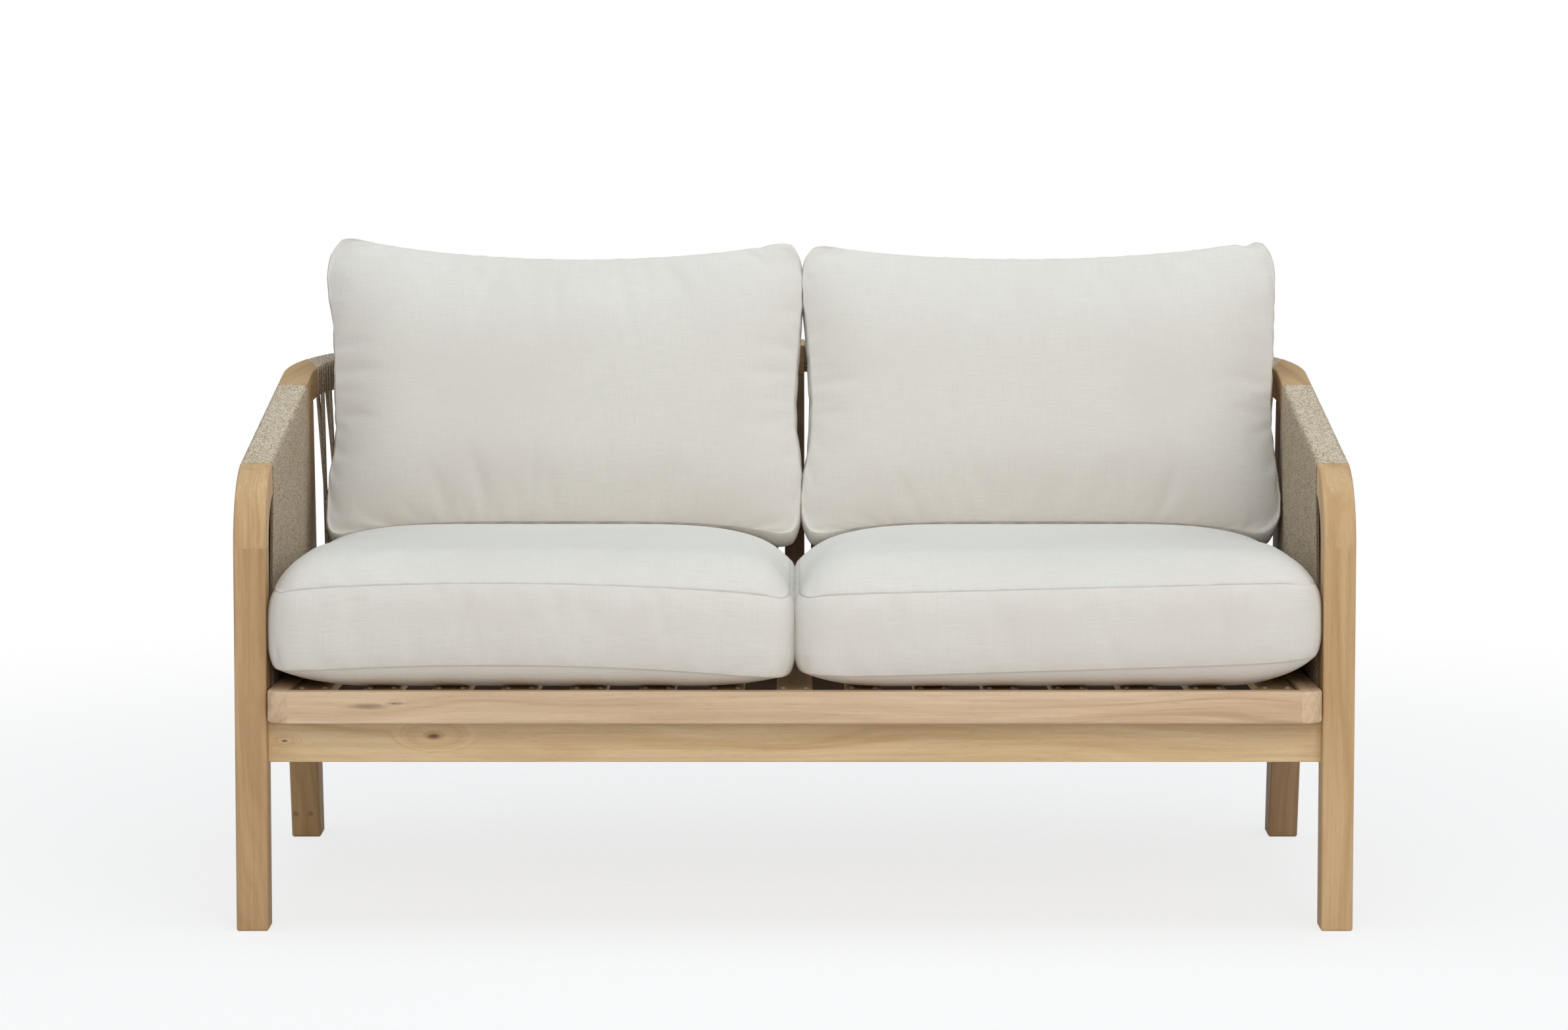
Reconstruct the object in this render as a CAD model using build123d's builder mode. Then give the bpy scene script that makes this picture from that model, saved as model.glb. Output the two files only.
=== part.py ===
"""Patio loveseat: a rounded acacia frame with rope-wound arms and back, a slatted seat and loose cushions.

Millimetres, +Z up. X runs along the seat, the front faces -Y, and the origin is on the ground
under the middle of the loveseat. Left and right are as seen from the front. Distances called
behind or ahead are measured from the front faces of the front legs.
"""

from build123d import *
import os
from math import acos, atan2, cos, degrees, hypot, radians, sin, sqrt

os.makedirs("parts", exist_ok=True)

# Timber of the legs, arms and back rail
half_width = 700.0  # middle of the seat to a leg's outer face
timber_wide = 40.0  # leg, arm and back rail from outer to inner face
timber_deep = 42.0  # front leg front to back, arm and back rail top to bottom
arris = 2.5  # rounding of the timber's long edges
leg_height = 483.4  # straight part of a front leg, up to the glue joint
foot_bevel = 2.0
cut_spare = 10.0  # how far a cut runs past the face that it opens

# The loop that elbows, arms, corner blocks and back rail make, in one sloping plane
arm_slope = 8.7  # degrees up towards the back
elbow_radius = 100.0
arm_length = 410.0  # roped part of an arm, along the slope
block_straight = 70.6  # end of the roped part to where the corner begins to turn
corner_radius = 150.0
corner_turn = 80.0  # degrees, after which the gentle bow of the back rail goes on
block_turn = 26.0  # degrees of turn where a corner block meets the back rail
block_cut = 69.0  # degrees between that cut and the X axis
rebate = 3.5  # how much thinner timber is under the rope, on each face

# Rope
rope = 5.0
rib_relief = 1.4  # depth of the groove between two ribs
rib_pitch = 10.5  # a rib here is two turns laid side by side
wrap_chamfer = 5.0
curtain_front = 45.0  # foot of the arm's first strand, behind
curtain_set = 62.0  # foot of the arm's last strand, behind the end of the roped part
back_pitch = 12.5  # from one strand of the back to the next
strand_gap = 4.0  # last strand to the leg

# Rear legs: a raked lower part up to the knee and a steeper upper part, each place set behind
# the end of the arm's roped part
rear_foot_set = 130.0
rear_foot_deep = 50.0
knee_height = 310.0
knee_set = 50.0
knee_deep = 72.0
head_height = 620.0
head_set = 20.0
head_deep = 62.0

# Seat frame, tilted back about its front top edge
seat_height = 307.8
seat_tilt = 2.0
seat_nose = 30.0  # ahead of the front legs
seat_set = 120.0  # end of an arm's roped part to the seat frame's rear edge
seat_rail_deep = 39.8
side_rail_thick = 27.0
front_rail_thick = 22.0
rear_rail_set = 50.0  # rear rail's front face to the side rails' rear ends
seat_corner_radius = 26.0
seat_side_gap = 2.0  # seat frame to leg
rail_round = 3.0
slat_count = 15
slat_wide = 45.0
slat_thick = 12.0
slat_drop = 5.0  # slats under the rails' top edges
slat_gap = 0.5  # slat ends to the rails
slat_side_gap = 2.0  # outer slats to the side rails
cleat_wide = 26.0
cleat_set = 67.0  # front cleat behind the seat's front edge

# Aprons, lower rails and the post of the back
apron_foot = 211.0  # ground to an apron's lower edge
apron_thick = 22.0
apron_set = 20.0
rear_apron_set = 75.0  # behind the end of the arm's roped part
low_rail_foot = 216.0
low_rail_high = 46.0
back_low_set = 95.0  # behind the end of the arm's roped part
back_low_z = 325.0
post_wide = 27.0
post_deep = 30.0

# Loose tenons, bolts, screws and plugs
tenon_thick = 8.0
tenon_reach = 20.0  # into each of the two pieces
tenon_wide = 24.0
wide_tenon = 36.0  # at the front apron and the rear legs' heads
low_tenon = 20.0  # at the rear apron and the lower rails
low_tenon_shift = 6.0  # outwards, clear of the apron's tenon
hole_clearance = 0.1
bolt_radius = 3.0
bolt_reach = 22.0  # into the leg
bolt_head_radius = 5.8  # to the corners of its six sides
bolt_head_high = 4.0
head_sides = 6
bolt_drop = 29.0  # under the seat frame's top
bolt_front_set = 58.0  # behind the seat's front edge
bolt_rear_set = 13.0  # ahead of the side rails' rear ends
screw_radius = 3.2
screw_long = 28.0
screw_sides = 6  # its round made plain
screw_pitch = 29.0
plug_radius = 4.0
plug_deep = 8.0
plug_pitch = 20.0
plug_height = 34.0
plug_inset = 16.5  # leg's outer face to the middle between two plugs

# Seat cushions
cushion_gap = 3.0  # between the two
cushion_side_gap = 3.5  # to the legs' inner faces
cushion_set = 8.0  # behind the seat's front edge
cushion_rear_gap = 22.0  # cushion's rear edge to the seat frame's
cushion_foot_inset = 40.0
cushion_seam_low = 28.0  # lower seam over the rails
cushion_seam_high = 130.0  # upper seam over the rails
cushion_crown = 38.0
crown_inset = 120.0
crown_rear_inset = 190.0
cushion_clearance = 0.3
cushion_corner = 34.0
seam_inset = 2.0

# Back cushions
back_side_gap = 59.0  # leg's outer face to a cushion's edge
back_cushion_high = 398.0
back_cushion_gap = 2.0
back_gusset = 112.0
back_crown = 22.0
back_crown_inset = 110.0
back_lean = 16.0
back_cushion_set = 18.0  # middle of the lower edge, behind the end of the arm's roped part
back_cushion_rise = 1.2  # keeps the lower edge clear of the crown's rear slope
back_rear_inset = 22.0  # rear seam, squeezed in by the corners of the loop
back_top_sag = 20.0

# Shares of the way from a cushion's edge to the middle of its crown, and of the crown's height
crown_shares = ((0.1, 0.36), (0.3, 0.7), (0.6, 0.93), (1.0, 1.0))
foot_shares = ((1.0, 1.0), (0.7, 0.82), (0.3, 0.7), (0.1, 0.45))
corner_growth_share = 0.3  # of an inset, added to the corner's radius
strand_head_share = 0.25  # of a pitch
strand_foot_share = 0.75  # of a pitch

# The loop's plan, worked out in its own sloping plane
corner_x = half_width - corner_radius
corner_start = arm_length + block_straight
bow_radius = corner_x / cos(radians(corner_turn)) + corner_radius
bow_centre = corner_start + (corner_radius - bow_radius) * sin(radians(corner_turn))
rope_proud = rope - rebate
slope_sin = sin(radians(arm_slope))
slope_cos = cos(radians(arm_slope))
core_wide = timber_wide - 2 * rebate
core_deep = timber_deep - 2 * rebate
wrap_wide = core_wide + 2 * rope
wrap_deep = core_deep + 2 * rope
frame_depth = seat_nose + elbow_radius * (1 - slope_sin)
frame_depth += (bow_centre + bow_radius + rope_proud) * slope_cos + (timber_deep + rope_proud) * slope_sin
leg_face = seat_nose - frame_depth / 2
rope_end = elbow_radius * (1 - slope_sin) + arm_length * slope_cos
curtain_back = rope_end + curtain_set
rear_foot_y = rope_end + rear_foot_set
knee_y = rope_end + knee_set
head_y = rope_end + head_set
rear_apron_y = leg_face + rope_end + rear_apron_set + apron_thick / 2
back_low_y = rope_end + back_low_set
back_cushion_y = rope_end + back_cushion_set
seat_depth = rope_end + seat_set
cushion_deep = seat_depth - cushion_set - cushion_rear_gap
elbow_end_y = leg_face + elbow_radius * (1 - slope_sin)
elbow_end_z = leg_height + elbow_radius * slope_cos
leg_inner = half_width - timber_wide
leg_middle = half_width - timber_wide / 2
leg_middle_y = leg_face + timber_deep / 2

arm_plane = Plane(origin=(0, elbow_end_y, elbow_end_z), x_dir=(1, 0, 0), z_dir=(0, -slope_sin, slope_cos))
arm_normal = (0, -slope_sin, slope_cos)
arm_along = (0, slope_cos, slope_sin)
seat_sin = sin(radians(seat_tilt))
seat_cos = cos(radians(seat_tilt))
seat_front = leg_face - seat_nose
seat_plane = Plane(origin=(0, seat_front, seat_height), x_dir=(1, 0, 0), z_dir=(0, seat_sin, seat_cos))
seat_half = leg_inner - seat_side_gap
seat_inner = seat_half - side_rail_thick
rear_rail_front = seat_depth - rear_rail_set
slat_long = rear_rail_front - front_rail_thick - 2 * slat_gap
slat_pitch = (2 * (seat_inner - slat_side_gap) - slat_wide) / (slat_count - 1)


def finish(piece, label):
    """Names a finished piece and writes it."""
    piece.part.label = label
    export_step(piece.part, f"parts/{label}.step")


def finish_pair(piece, label):
    """Writes a right-hand piece and its mirror image on the left."""
    finish(piece, f"right_{label}")
    with BuildPart() as other:
        mirror(piece.part, about=Plane.YZ)
    finish(other, f"left_{label}")


def under_seat(y):
    """Height of the seat frame's underside at one place from front to back."""
    return seat_height - (seat_rail_deep + (y - seat_front) * seat_sin) / seat_cos


def on_arm(x, along, drop):
    """A point of the loop: across, along the slope from the elbow, and below the top face."""
    return arm_plane.from_local_coords(Vector(x, along, -drop))


def rear_leg_front(z):
    """Front edge of a rear leg under the knee, at one height."""
    return leg_face + rear_foot_y + (knee_y - rear_foot_y) * z / knee_height


# Joints with loose tenons: each plane's normal is the tenon's length, and its x_dir its width
elbow_foot = Plane(origin=(leg_middle, leg_middle_y, leg_height), x_dir=(0, 1, 0), z_dir=(0, 0, 1))
elbow_head = Plane(origin=on_arm(leg_middle, 0, timber_deep / 2), x_dir=arm_normal, z_dir=arm_along)
arm_end = Plane(origin=on_arm(leg_middle, arm_length, timber_deep / 2), x_dir=arm_normal, z_dir=arm_along)
cut_x = corner_x + (corner_radius - timber_wide / 2) * cos(radians(block_turn))
cut_along = corner_start + (corner_radius - timber_wide / 2) * sin(radians(block_turn))
cut_normal = arm_plane.from_local_coords(Vector(-sin(radians(block_cut)), cos(radians(block_cut)), 0))
block_end = Plane(
    origin=on_arm(cut_x, cut_along, timber_deep / 2),
    x_dir=arm_normal,
    z_dir=cut_normal - arm_plane.origin,
)
head_along = (leg_face + head_y + head_deep / 2 - elbow_end_y) / slope_cos
leg_head = Plane(origin=on_arm(leg_middle, head_along, timber_deep), x_dir=arm_along, z_dir=arm_normal)
apron_y = leg_face + apron_set + apron_thick / 2
apron_z = (apron_foot + under_seat(apron_y)) / 2
apron_end = Plane(origin=(leg_inner, apron_y, apron_z), x_dir=(0, 0, 1), z_dir=(1, 0, 0))
rear_apron_z = (apron_foot + under_seat(rear_apron_y)) / 2
rear_apron_end = Plane(origin=(leg_inner, rear_apron_y, rear_apron_z), x_dir=(0, 0, 1), z_dir=(1, 0, 0))
low_x = leg_middle + low_tenon_shift
low_z = low_rail_foot + low_rail_high / 2
low_front = Plane(origin=(low_x, leg_face + timber_deep, low_z), x_dir=(0, 0, 1), z_dir=(0, 1, 0))
low_back = Plane(origin=(low_x, rear_leg_front(low_z), low_z), x_dir=(0, 0, 1), z_dir=(0, 1, 0))
back_low_end = Plane(origin=(leg_inner, leg_face + back_low_y, back_low_z), x_dir=(0, 0, 1), z_dir=(1, 0, 0))
rail_middle_along = bow_centre + bow_radius - timber_wide / 2
post_head = Plane(origin=on_arm(0, rail_middle_along, timber_deep), x_dir=(0, 1, 0), z_dir=arm_normal)
post_foot = Plane(origin=(0, leg_face + back_low_y, back_low_z + timber_wide / 2), x_dir=(0, 1, 0), z_dir=(0, 0, 1))


def seat_joint(along):
    """Joint between a cross rail and the right side rail of the seat."""
    centre = seat_plane.from_local_coords(Vector(seat_inner, along, -seat_rail_deep / 2))
    return Plane(origin=centre, x_dir=(0, seat_sin, seat_cos), z_dir=(1, 0, 0))


front_rail_end = seat_joint(front_rail_thick / 2)
rear_rail_end = seat_joint(rear_rail_front + front_rail_thick / 2)


from_base = (Align.CENTER, Align.CENTER, Align.MIN)


def other_side(joint):
    """The same joint on the left."""
    start, spread, axis = joint.origin, joint.x_dir, joint.z_dir
    return Plane(
        origin=(-start.X, start.Y, start.Z),
        x_dir=(-spread.X, spread.Y, spread.Z),
        z_dir=(-axis.X, axis.Y, axis.Z),
    )


def mortise(joint, wide=tenon_wide):
    """Cuts a joint's mortise into the piece being built."""
    with Locations(joint.location):
        Box(
            wide + 2 * hole_clearance,
            tenon_thick + 2 * hole_clearance,
            2 * (tenon_reach + hole_clearance),
            mode=Mode.SUBTRACT,
        )


def bolt_line(along):
    """Axis of a seat bolt, from the side rail's inner face outwards."""
    start = seat_plane.from_local_coords(Vector(seat_inner, along, -bolt_drop))
    return Plane(origin=start, x_dir=(0, 1, 0), z_dir=(1, 0, 0))


bolt_lines = [bolt_line(bolt_front_set), bolt_line(seat_depth - bolt_rear_set)]
bolt_long = side_rail_thick + seat_side_gap + bolt_reach


def bore_bolts():
    """Bores the way of the seat bolts into the piece being built."""
    for line in bolt_lines:
        with Locations(line.location):
            Cylinder(
                bolt_radius + hole_clearance, bolt_long + hole_clearance, align=from_base, mode=Mode.SUBTRACT
            )


# Front leg: a straight square post that ends at the glue joint under the elbow
with BuildPart() as front_leg:
    with BuildSketch():
        with Locations((leg_middle, leg_middle_y)):
            Rectangle(timber_wide, timber_deep)
    extrude(amount=leg_height)
    fillet(front_leg.edges().filter_by(Axis.Z), radius=arris)
    chamfer(front_leg.faces().sort_by(Axis.Z)[0].edges(), length=foot_bevel)
    mortise(elbow_foot)
    mortise(apron_end, wide_tenon)
    mortise(low_front, low_tenon)
    bore_bolts()
finish_pair(front_leg, "front_leg")

# Elbow: the leg's line turned through a quarter circle into the arm's slope
with BuildPart() as elbow:
    with BuildSketch(Plane.YZ.offset(leg_inner)):
        with BuildLine():
            hub = (leg_face + elbow_radius, leg_height)
            outer = CenterArc(hub, elbow_radius, 180, arm_slope - 90)
            inner = CenterArc(hub, elbow_radius - timber_deep, 180, arm_slope - 90)
            Line(outer @ 0, inner @ 0)
            Line(outer @ 1, inner @ 1)
        make_face()
    extrude(amount=timber_wide)
    fillet(elbow.edges().filter_by(GeomType.CIRCLE), radius=arris)
    mortise(elbow_foot)
    mortise(elbow_head)
finish_pair(elbow, "front_elbow")

# Arm rail: thinner than the elbow on every face, so that the rope lies nearly flush
with BuildPart() as arm_rail:
    with BuildSketch(Plane(origin=elbow_head.origin, x_dir=(1, 0, 0), z_dir=arm_along)):
        Rectangle(core_wide, core_deep)
    extrude(amount=arm_length)
    mortise(elbow_head)
    mortise(arm_end)
finish_pair(arm_rail, "arm_rail")


def reach_to(hub, radius, place, way):
    """Signed distance from a place, along a direction in degrees, to a circle around a hub."""
    ahead_x, ahead_along = place[0] - hub[0], place[1] - hub[1]
    dot = ahead_x * cos(radians(way)) + ahead_along * sin(radians(way))
    return sqrt(dot * dot - ahead_x * ahead_x - ahead_along * ahead_along + radius * radius) - dot


def cut_place(offset):
    """Where the cut between block and back rail crosses the corner's arc at an offset inwards."""
    reach = reach_to((corner_x, corner_start), corner_radius - offset, (cut_x, cut_along), block_cut)
    return (cut_x + reach * cos(radians(block_cut)), cut_along + reach * sin(radians(block_cut)))


def turn_of(place):
    """Turn around the corner's centre, in degrees, of a place in the loop's plane."""
    return degrees(atan2(place[1] - corner_start, place[0] - corner_x))


# Corner block: carries the arm on and turns it towards the back rail
with BuildPart() as corner_block:
    with BuildSketch(arm_plane):
        with BuildLine():
            hub = (corner_x, corner_start)
            far = CenterArc(hub, corner_radius, 0, turn_of(cut_place(0)))
            near = CenterArc(hub, corner_radius - timber_wide, 0, turn_of(cut_place(timber_wide)))
            Polyline(far @ 0, (half_width, arm_length), (leg_inner, arm_length), near @ 0)
            Line(far @ 1, near @ 1)
        make_face()
    extrude(amount=-timber_deep)
    long_edges = corner_block.edges().filter_by(Axis(origin=(0, 0, 0), direction=arm_along))
    fillet(long_edges + corner_block.edges().filter_by(GeomType.CIRCLE), radius=arris)
    mortise(arm_end)
    mortise(leg_head, wide_tenon)
    mortise(block_end)
finish_pair(corner_block, "corner_block")


# Back rail: both corner turns and the bow between them in one piece, full size only at the post
with BuildPart() as back_rail:
    with BuildSketch(arm_plane.offset(-rebate)):
        with BuildLine():
            for offset in (rebate, timber_wide - rebate):
                turn = turn_of(cut_place(offset))
                CenterArc((corner_x, corner_start), corner_radius - offset, turn, corner_turn - turn)
                CenterArc((-corner_x, corner_start), corner_radius - offset, 180 - turn, turn - corner_turn)
                CenterArc((0, bow_centre), bow_radius - offset, corner_turn, 180 - 2 * corner_turn)
            for side in (-1, 1):
                ends = [cut_place(offset) for offset in (rebate, timber_wide - rebate)]
                Line(*[(side * place[0], place[1]) for place in ends])
        make_face()
    extrude(amount=-core_deep)
    with BuildSketch(arm_plane):
        with BuildLine():
            far = CenterArc((0, bow_centre), bow_radius, corner_turn, 180 - 2 * corner_turn)
            near = CenterArc((0, bow_centre), bow_radius - timber_wide, corner_turn, 180 - 2 * corner_turn)
            Line(far @ 0, near @ 0)
            Line(far @ 1, near @ 1)
        make_face()
        with Locations((0, rail_middle_along)):
            Rectangle(post_wide, timber_wide + 2 * cut_spare, mode=Mode.INTERSECT)
    extrude(amount=-timber_deep)
    mortise(block_end)
    mortise(other_side(block_end))
    mortise(post_head)
finish(back_rail, "back_top_rail")

# Rear leg: raked foot, knee at the seat, head cut to the underside of the corner block
with BuildPart() as rear_leg:
    with BuildSketch(Plane.YZ.offset(leg_inner)):
        with BuildLine():
            Polyline(
                (leg_face + rear_foot_y, 0),
                (leg_face + knee_y, knee_height),
                (leg_face + head_y, head_height),
                (leg_face + head_y + head_deep, head_height),
                (leg_face + knee_y + knee_deep, knee_height),
                (leg_face + rear_foot_y + rear_foot_deep, 0),
                close=True,
            )
        make_face()
    extrude(amount=timber_wide)
    split(bisect_by=arm_plane.offset(-timber_deep), keep=Keep.BOTTOM)
    side_edges = rear_leg.faces().filter_by(Axis.X).edges()
    ends = [rear_leg.faces().sort_by(Axis.Z)[0], rear_leg.faces().sort_by(Axis.Z)[-1]]
    end_edges = ends[0].edges() + ends[1].edges()
    fillet([edge for edge in side_edges if edge not in end_edges], radius=arris)
    chamfer(rear_leg.faces().sort_by(Axis.Z)[0].edges(), length=foot_bevel)
    mortise(leg_head, wide_tenon)
    mortise(rear_apron_end, low_tenon)
    mortise(low_back, low_tenon)
    mortise(back_low_end, low_tenon)
    bore_bolts()
finish(rear_leg, "right_rear_leg")

rake = hypot(knee_y - rear_foot_y, knee_height)
rake_out = (0, -knee_height / rake, (knee_y - rear_foot_y) / rake)
plug_middle = Plane(
    origin=(plug_inset - half_width, rear_leg_front(plug_height), plug_height), x_dir=(1, 0, 0), z_dir=rake_out
)
plug_spots = [plug_middle.offset(-plug_deep).location * Location((side * plug_pitch / 2, 0, 0)) for side in (-1, 1)]

# Left rear leg: the mirror image, with two plugged holes over the foot
with BuildPart() as left_rear_leg:
    mirror(rear_leg.part, about=Plane.YZ)
    with Locations(*plug_spots):
        Cylinder(plug_radius + hole_clearance, plug_deep + cut_spare, align=from_base, mode=Mode.SUBTRACT)
finish(left_rear_leg, "left_rear_leg")

with BuildPart() as plugs:
    with Locations(*plug_spots):
        Cylinder(plug_radius, plug_deep, align=from_base)
finish(plugs, "rear_leg_plugs")


def side_profile(points, half_long):
    """Extrudes a side outline evenly to both sides of the middle."""
    with BuildPart() as bar:
        with BuildSketch(Plane.YZ):
            with BuildLine():
                Polyline(*points, close=True)
            make_face()
        extrude(amount=half_long, both=True)
    return bar.part


def apron_outline(front_y):
    """Side outline of an apron, with its top edge on the underside of the seat frame."""
    rear_y = front_y + apron_thick
    return [
        (front_y, apron_foot),
        (rear_y, apron_foot),
        (rear_y, under_seat(rear_y)),
        (front_y, under_seat(front_y)),
    ]


# Aprons: boards on edge between the legs, which the seat frame rests on
with BuildPart() as front_apron:
    add(side_profile(apron_outline(leg_face + apron_set), leg_inner))
    fillet(front_apron.edges().filter_by(Axis.X).group_by(Axis.Z)[0], radius=foot_bevel)
    mortise(apron_end, wide_tenon)
    mortise(other_side(apron_end), wide_tenon)
finish(front_apron, "front_apron")

with BuildPart() as rear_apron:
    add(side_profile(apron_outline(rear_apron_y - apron_thick / 2), leg_inner))
    fillet(rear_apron.edges().filter_by(Axis.X).group_by(Axis.Z)[0], radius=foot_bevel)
    mortise(rear_apron_end, low_tenon)
    mortise(other_side(rear_apron_end), low_tenon)
finish(rear_apron, "rear_apron")

# Lower side rail: holds the foot of the rope curtain between front and rear leg
with BuildPart() as low_rail:
    with BuildSketch(Plane.YZ.offset(leg_middle - core_wide / 2)):
        with BuildLine():
            Polyline(
                (leg_face + timber_deep, low_rail_foot),
                (rear_leg_front(low_rail_foot), low_rail_foot),
                (rear_leg_front(low_rail_foot + low_rail_high), low_rail_foot + low_rail_high),
                (leg_face + timber_deep, low_rail_foot + low_rail_high),
                close=True,
            )
        make_face()
    extrude(amount=core_wide)
    mortise(low_front, low_tenon)
    mortise(low_back, low_tenon)
finish_pair(low_rail, "lower_side_rail")

# Lower back rail: thinned for the rope, full size where the post stands
with BuildPart() as back_low_rail:
    with Locations((0, leg_face + back_low_y, back_low_z)):
        Box(2 * leg_inner, core_wide, core_wide)
        Box(post_wide, timber_wide, timber_wide)
    mortise(back_low_end, low_tenon)
    mortise(other_side(back_low_end), low_tenon)
    mortise(post_foot)
finish(back_low_rail, "back_lower_rail")

# Post: stands on the lower back rail and leans back to the underside of the back rail
post_top_y = post_head.origin.Y
with BuildPart() as post:
    add(
        side_profile(
            [
                (leg_face + back_low_y - post_deep / 2, post_foot.origin.Z),
                (leg_face + back_low_y + post_deep / 2, post_foot.origin.Z),
                (post_top_y + post_deep / 2, post_head.origin.Z + cut_spare + post_deep),
                (post_top_y - post_deep / 2, post_head.origin.Z + cut_spare + post_deep),
            ],
            post_wide / 2,
        )
    )
    split(bisect_by=arm_plane.offset(-timber_deep), keep=Keep.BOTTOM)
    mortise(post_head)
    mortise(post_foot)
finish(post, "back_post")

# Seat frame: side rails run through to the front, where their corners are rounded in plan
with BuildPart() as seat_side:
    with BuildSketch(seat_plane) as plan:
        with Locations((seat_half - side_rail_thick / 2, seat_depth / 2)):
            Rectangle(side_rail_thick, seat_depth)
        fillet(plan.vertices().group_by(Axis.X)[-1].sort_by(Axis.Y)[0], radius=seat_corner_radius)
    extrude(amount=-seat_rail_deep)
    fillet(seat_side.faces().sort_by(Axis.X)[-1].edges().filter_by(Axis.Z, reverse=True), radius=rail_round)
    mortise(front_rail_end)
    mortise(rear_rail_end)
    bore_bolts()
finish_pair(seat_side, "seat_side_rail")


def cross_bar(start, wide, drop):
    """A bar across the seat frame, between the side rails, from a drop below their tops."""
    with BuildPart() as bar:
        with BuildSketch(seat_plane.offset(-drop)):
            with Locations((0, start + wide / 2)):
                Rectangle(2 * seat_inner, wide)
        extrude(amount=drop - seat_rail_deep)
    return bar.part


with BuildPart() as front_rail:
    add(cross_bar(0, front_rail_thick, 0))
    fillet(front_rail.edges().filter_by(Axis.X).group_by(Axis.Y)[0], radius=rail_round)
    mortise(front_rail_end)
    mortise(other_side(front_rail_end))
finish(front_rail, "seat_front_rail")

with BuildPart() as rear_rail:
    add(cross_bar(rear_rail_front, front_rail_thick, 0))
    mortise(rear_rail_end)
    mortise(other_side(rear_rail_end))
finish(rear_rail, "seat_rear_rail")

# Places of the slats and of the bars that carry them across the frame
cleat_drop = slat_drop + slat_thick
bar_starts = (cleat_set, (front_rail_thick + rear_rail_front - cleat_wide) / 2, rear_rail_front - cleat_wide)
slat_middle = (front_rail_thick + rear_rail_front) / 2
screw_middles = [bar_starts[0] + cleat_wide / 2, bar_starts[2] + cleat_wide / 2]
screw_top = seat_plane.offset(-slat_drop)


screw_spots = [
    ((index - (slat_count - 1) / 2) * slat_pitch + side * screw_pitch / 2, middle)
    for middle in screw_middles
    for index in range(slat_count)
    for side in (-1, 1)
]

# Slat screws: flush with the slats, and down into the cleats
with BuildPart() as screws:
    with BuildSketch(screw_top):
        with Locations(*screw_spots):
            RegularPolygon(screw_radius, screw_sides)
    extrude(amount=-screw_long)
finish(screws, "slat_screws")

# Cleats and bearer: flush with the frame's underside, the cleats pierced by the screws
for start, label in zip(bar_starts, ("seat_front_cleat", "seat_middle_bearer", "seat_rear_cleat")):
    with BuildPart() as cleat:
        add(cross_bar(start, cleat_wide, cleat_drop))
        add(screws.part, mode=Mode.SUBTRACT)
    finish(cleat, label)

# Slats: front to back, side by side, pierced by their screws
with BuildPart() as slats:
    with BuildSketch(screw_top):
        with Locations((0, slat_middle)):
            with GridLocations(slat_pitch, slat_long, slat_count, 1):
                Rectangle(slat_wide, slat_long)
    extrude(amount=-slat_thick)
    add(screws.part, mode=Mode.SUBTRACT)
finish(slats, "seat_slats")

# Rope of an arm: wound round the arm rail, then fanning out down to the lower side rail
rib_count = round(arm_length / rib_pitch)


def groove_at(index):
    """Depth of the groove at every second station, and none on the crests between."""
    return rib_relief * ((index + 1) % 2)


with BuildPart() as arm_wrap:
    for index in range(2 * rib_count + 1):
        groove = groove_at(index)
        middle = on_arm(leg_middle, arm_length * index / (2 * rib_count), timber_deep / 2)
        with BuildSketch(Plane(origin=middle, x_dir=(1, 0, 0), z_dir=(0, -slope_cos, -slope_sin))) as rib:
            Rectangle(wrap_wide - 2 * groove, wrap_deep - 2 * groove)
            chamfer(rib.vertices().group_by(Axis.Y)[-1], length=wrap_chamfer)
    loft(ruled=True)
    with BuildSketch(Plane(origin=elbow_head.origin, x_dir=(1, 0, 0), z_dir=arm_along)):
        Rectangle(core_wide, core_deep)
    extrude(amount=arm_length, mode=Mode.SUBTRACT)
finish_pair(arm_wrap, "arm_winding")

with BuildPart() as curtain:
    for index in range(2 * rib_count + 1):
        groove = groove_at(index)
        share = index / (2 * rib_count)
        head = on_arm(leg_middle, arm_length * share, (timber_deep + wrap_deep) / 2 - groove)
        foot_y = leg_face + curtain_front + (curtain_back - curtain_front) * share
        foot = Vector(leg_middle, foot_y, low_rail_foot - rope + groove)
        rise = head - foot
        with BuildSketch(Plane(origin=foot, x_dir=(1, 0, 0), z_dir=(0, -rise.Z, rise.Y))) as rib:
            Rectangle(wrap_wide - 2 * groove, rise.length, align=(Align.CENTER, Align.MIN))
            chamfer(rib.vertices().group_by(Axis.Y)[0], length=wrap_chamfer)
    loft(ruled=True)
    with BuildSketch(Plane.XY.offset(low_rail_foot)):
        with Locations((leg_middle, 0)):
            Rectangle(core_wide, frame_depth)
    extrude(amount=leg_height, mode=Mode.SUBTRACT)
finish_pair(curtain, "arm_curtain")

# Rope of the back: wound round the back rail, with strands down to the lower back rail
bow_middle = bow_radius - timber_wide / 2
turn_long = (corner_radius - timber_wide / 2) * radians(corner_turn - block_turn)
bow_long = bow_middle * (acos(post_wide / 2 / bow_middle) - radians(corner_turn))
back_count = round((turn_long + bow_long) / back_pitch)


def back_station(share):
    """Hub, radius, place and crossing direction of a turn of rope, at a share of the way to the post."""
    travel = share * (turn_long + bow_long)
    if travel < turn_long:
        turned = travel / turn_long
        turn = block_turn + (corner_turn - block_turn) * turned
        way = block_cut + (corner_turn - block_cut) * turned
        hub, radius = (corner_x, corner_start), corner_radius - timber_wide / 2
    else:
        turn = corner_turn + degrees((travel - turn_long) / bow_middle)
        way = turn
        hub, radius = (0, bow_centre), bow_middle
    place = (hub[0] + radius * cos(radians(turn)), hub[1] + radius * sin(radians(turn)))
    return hub, radius, place, way


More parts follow.
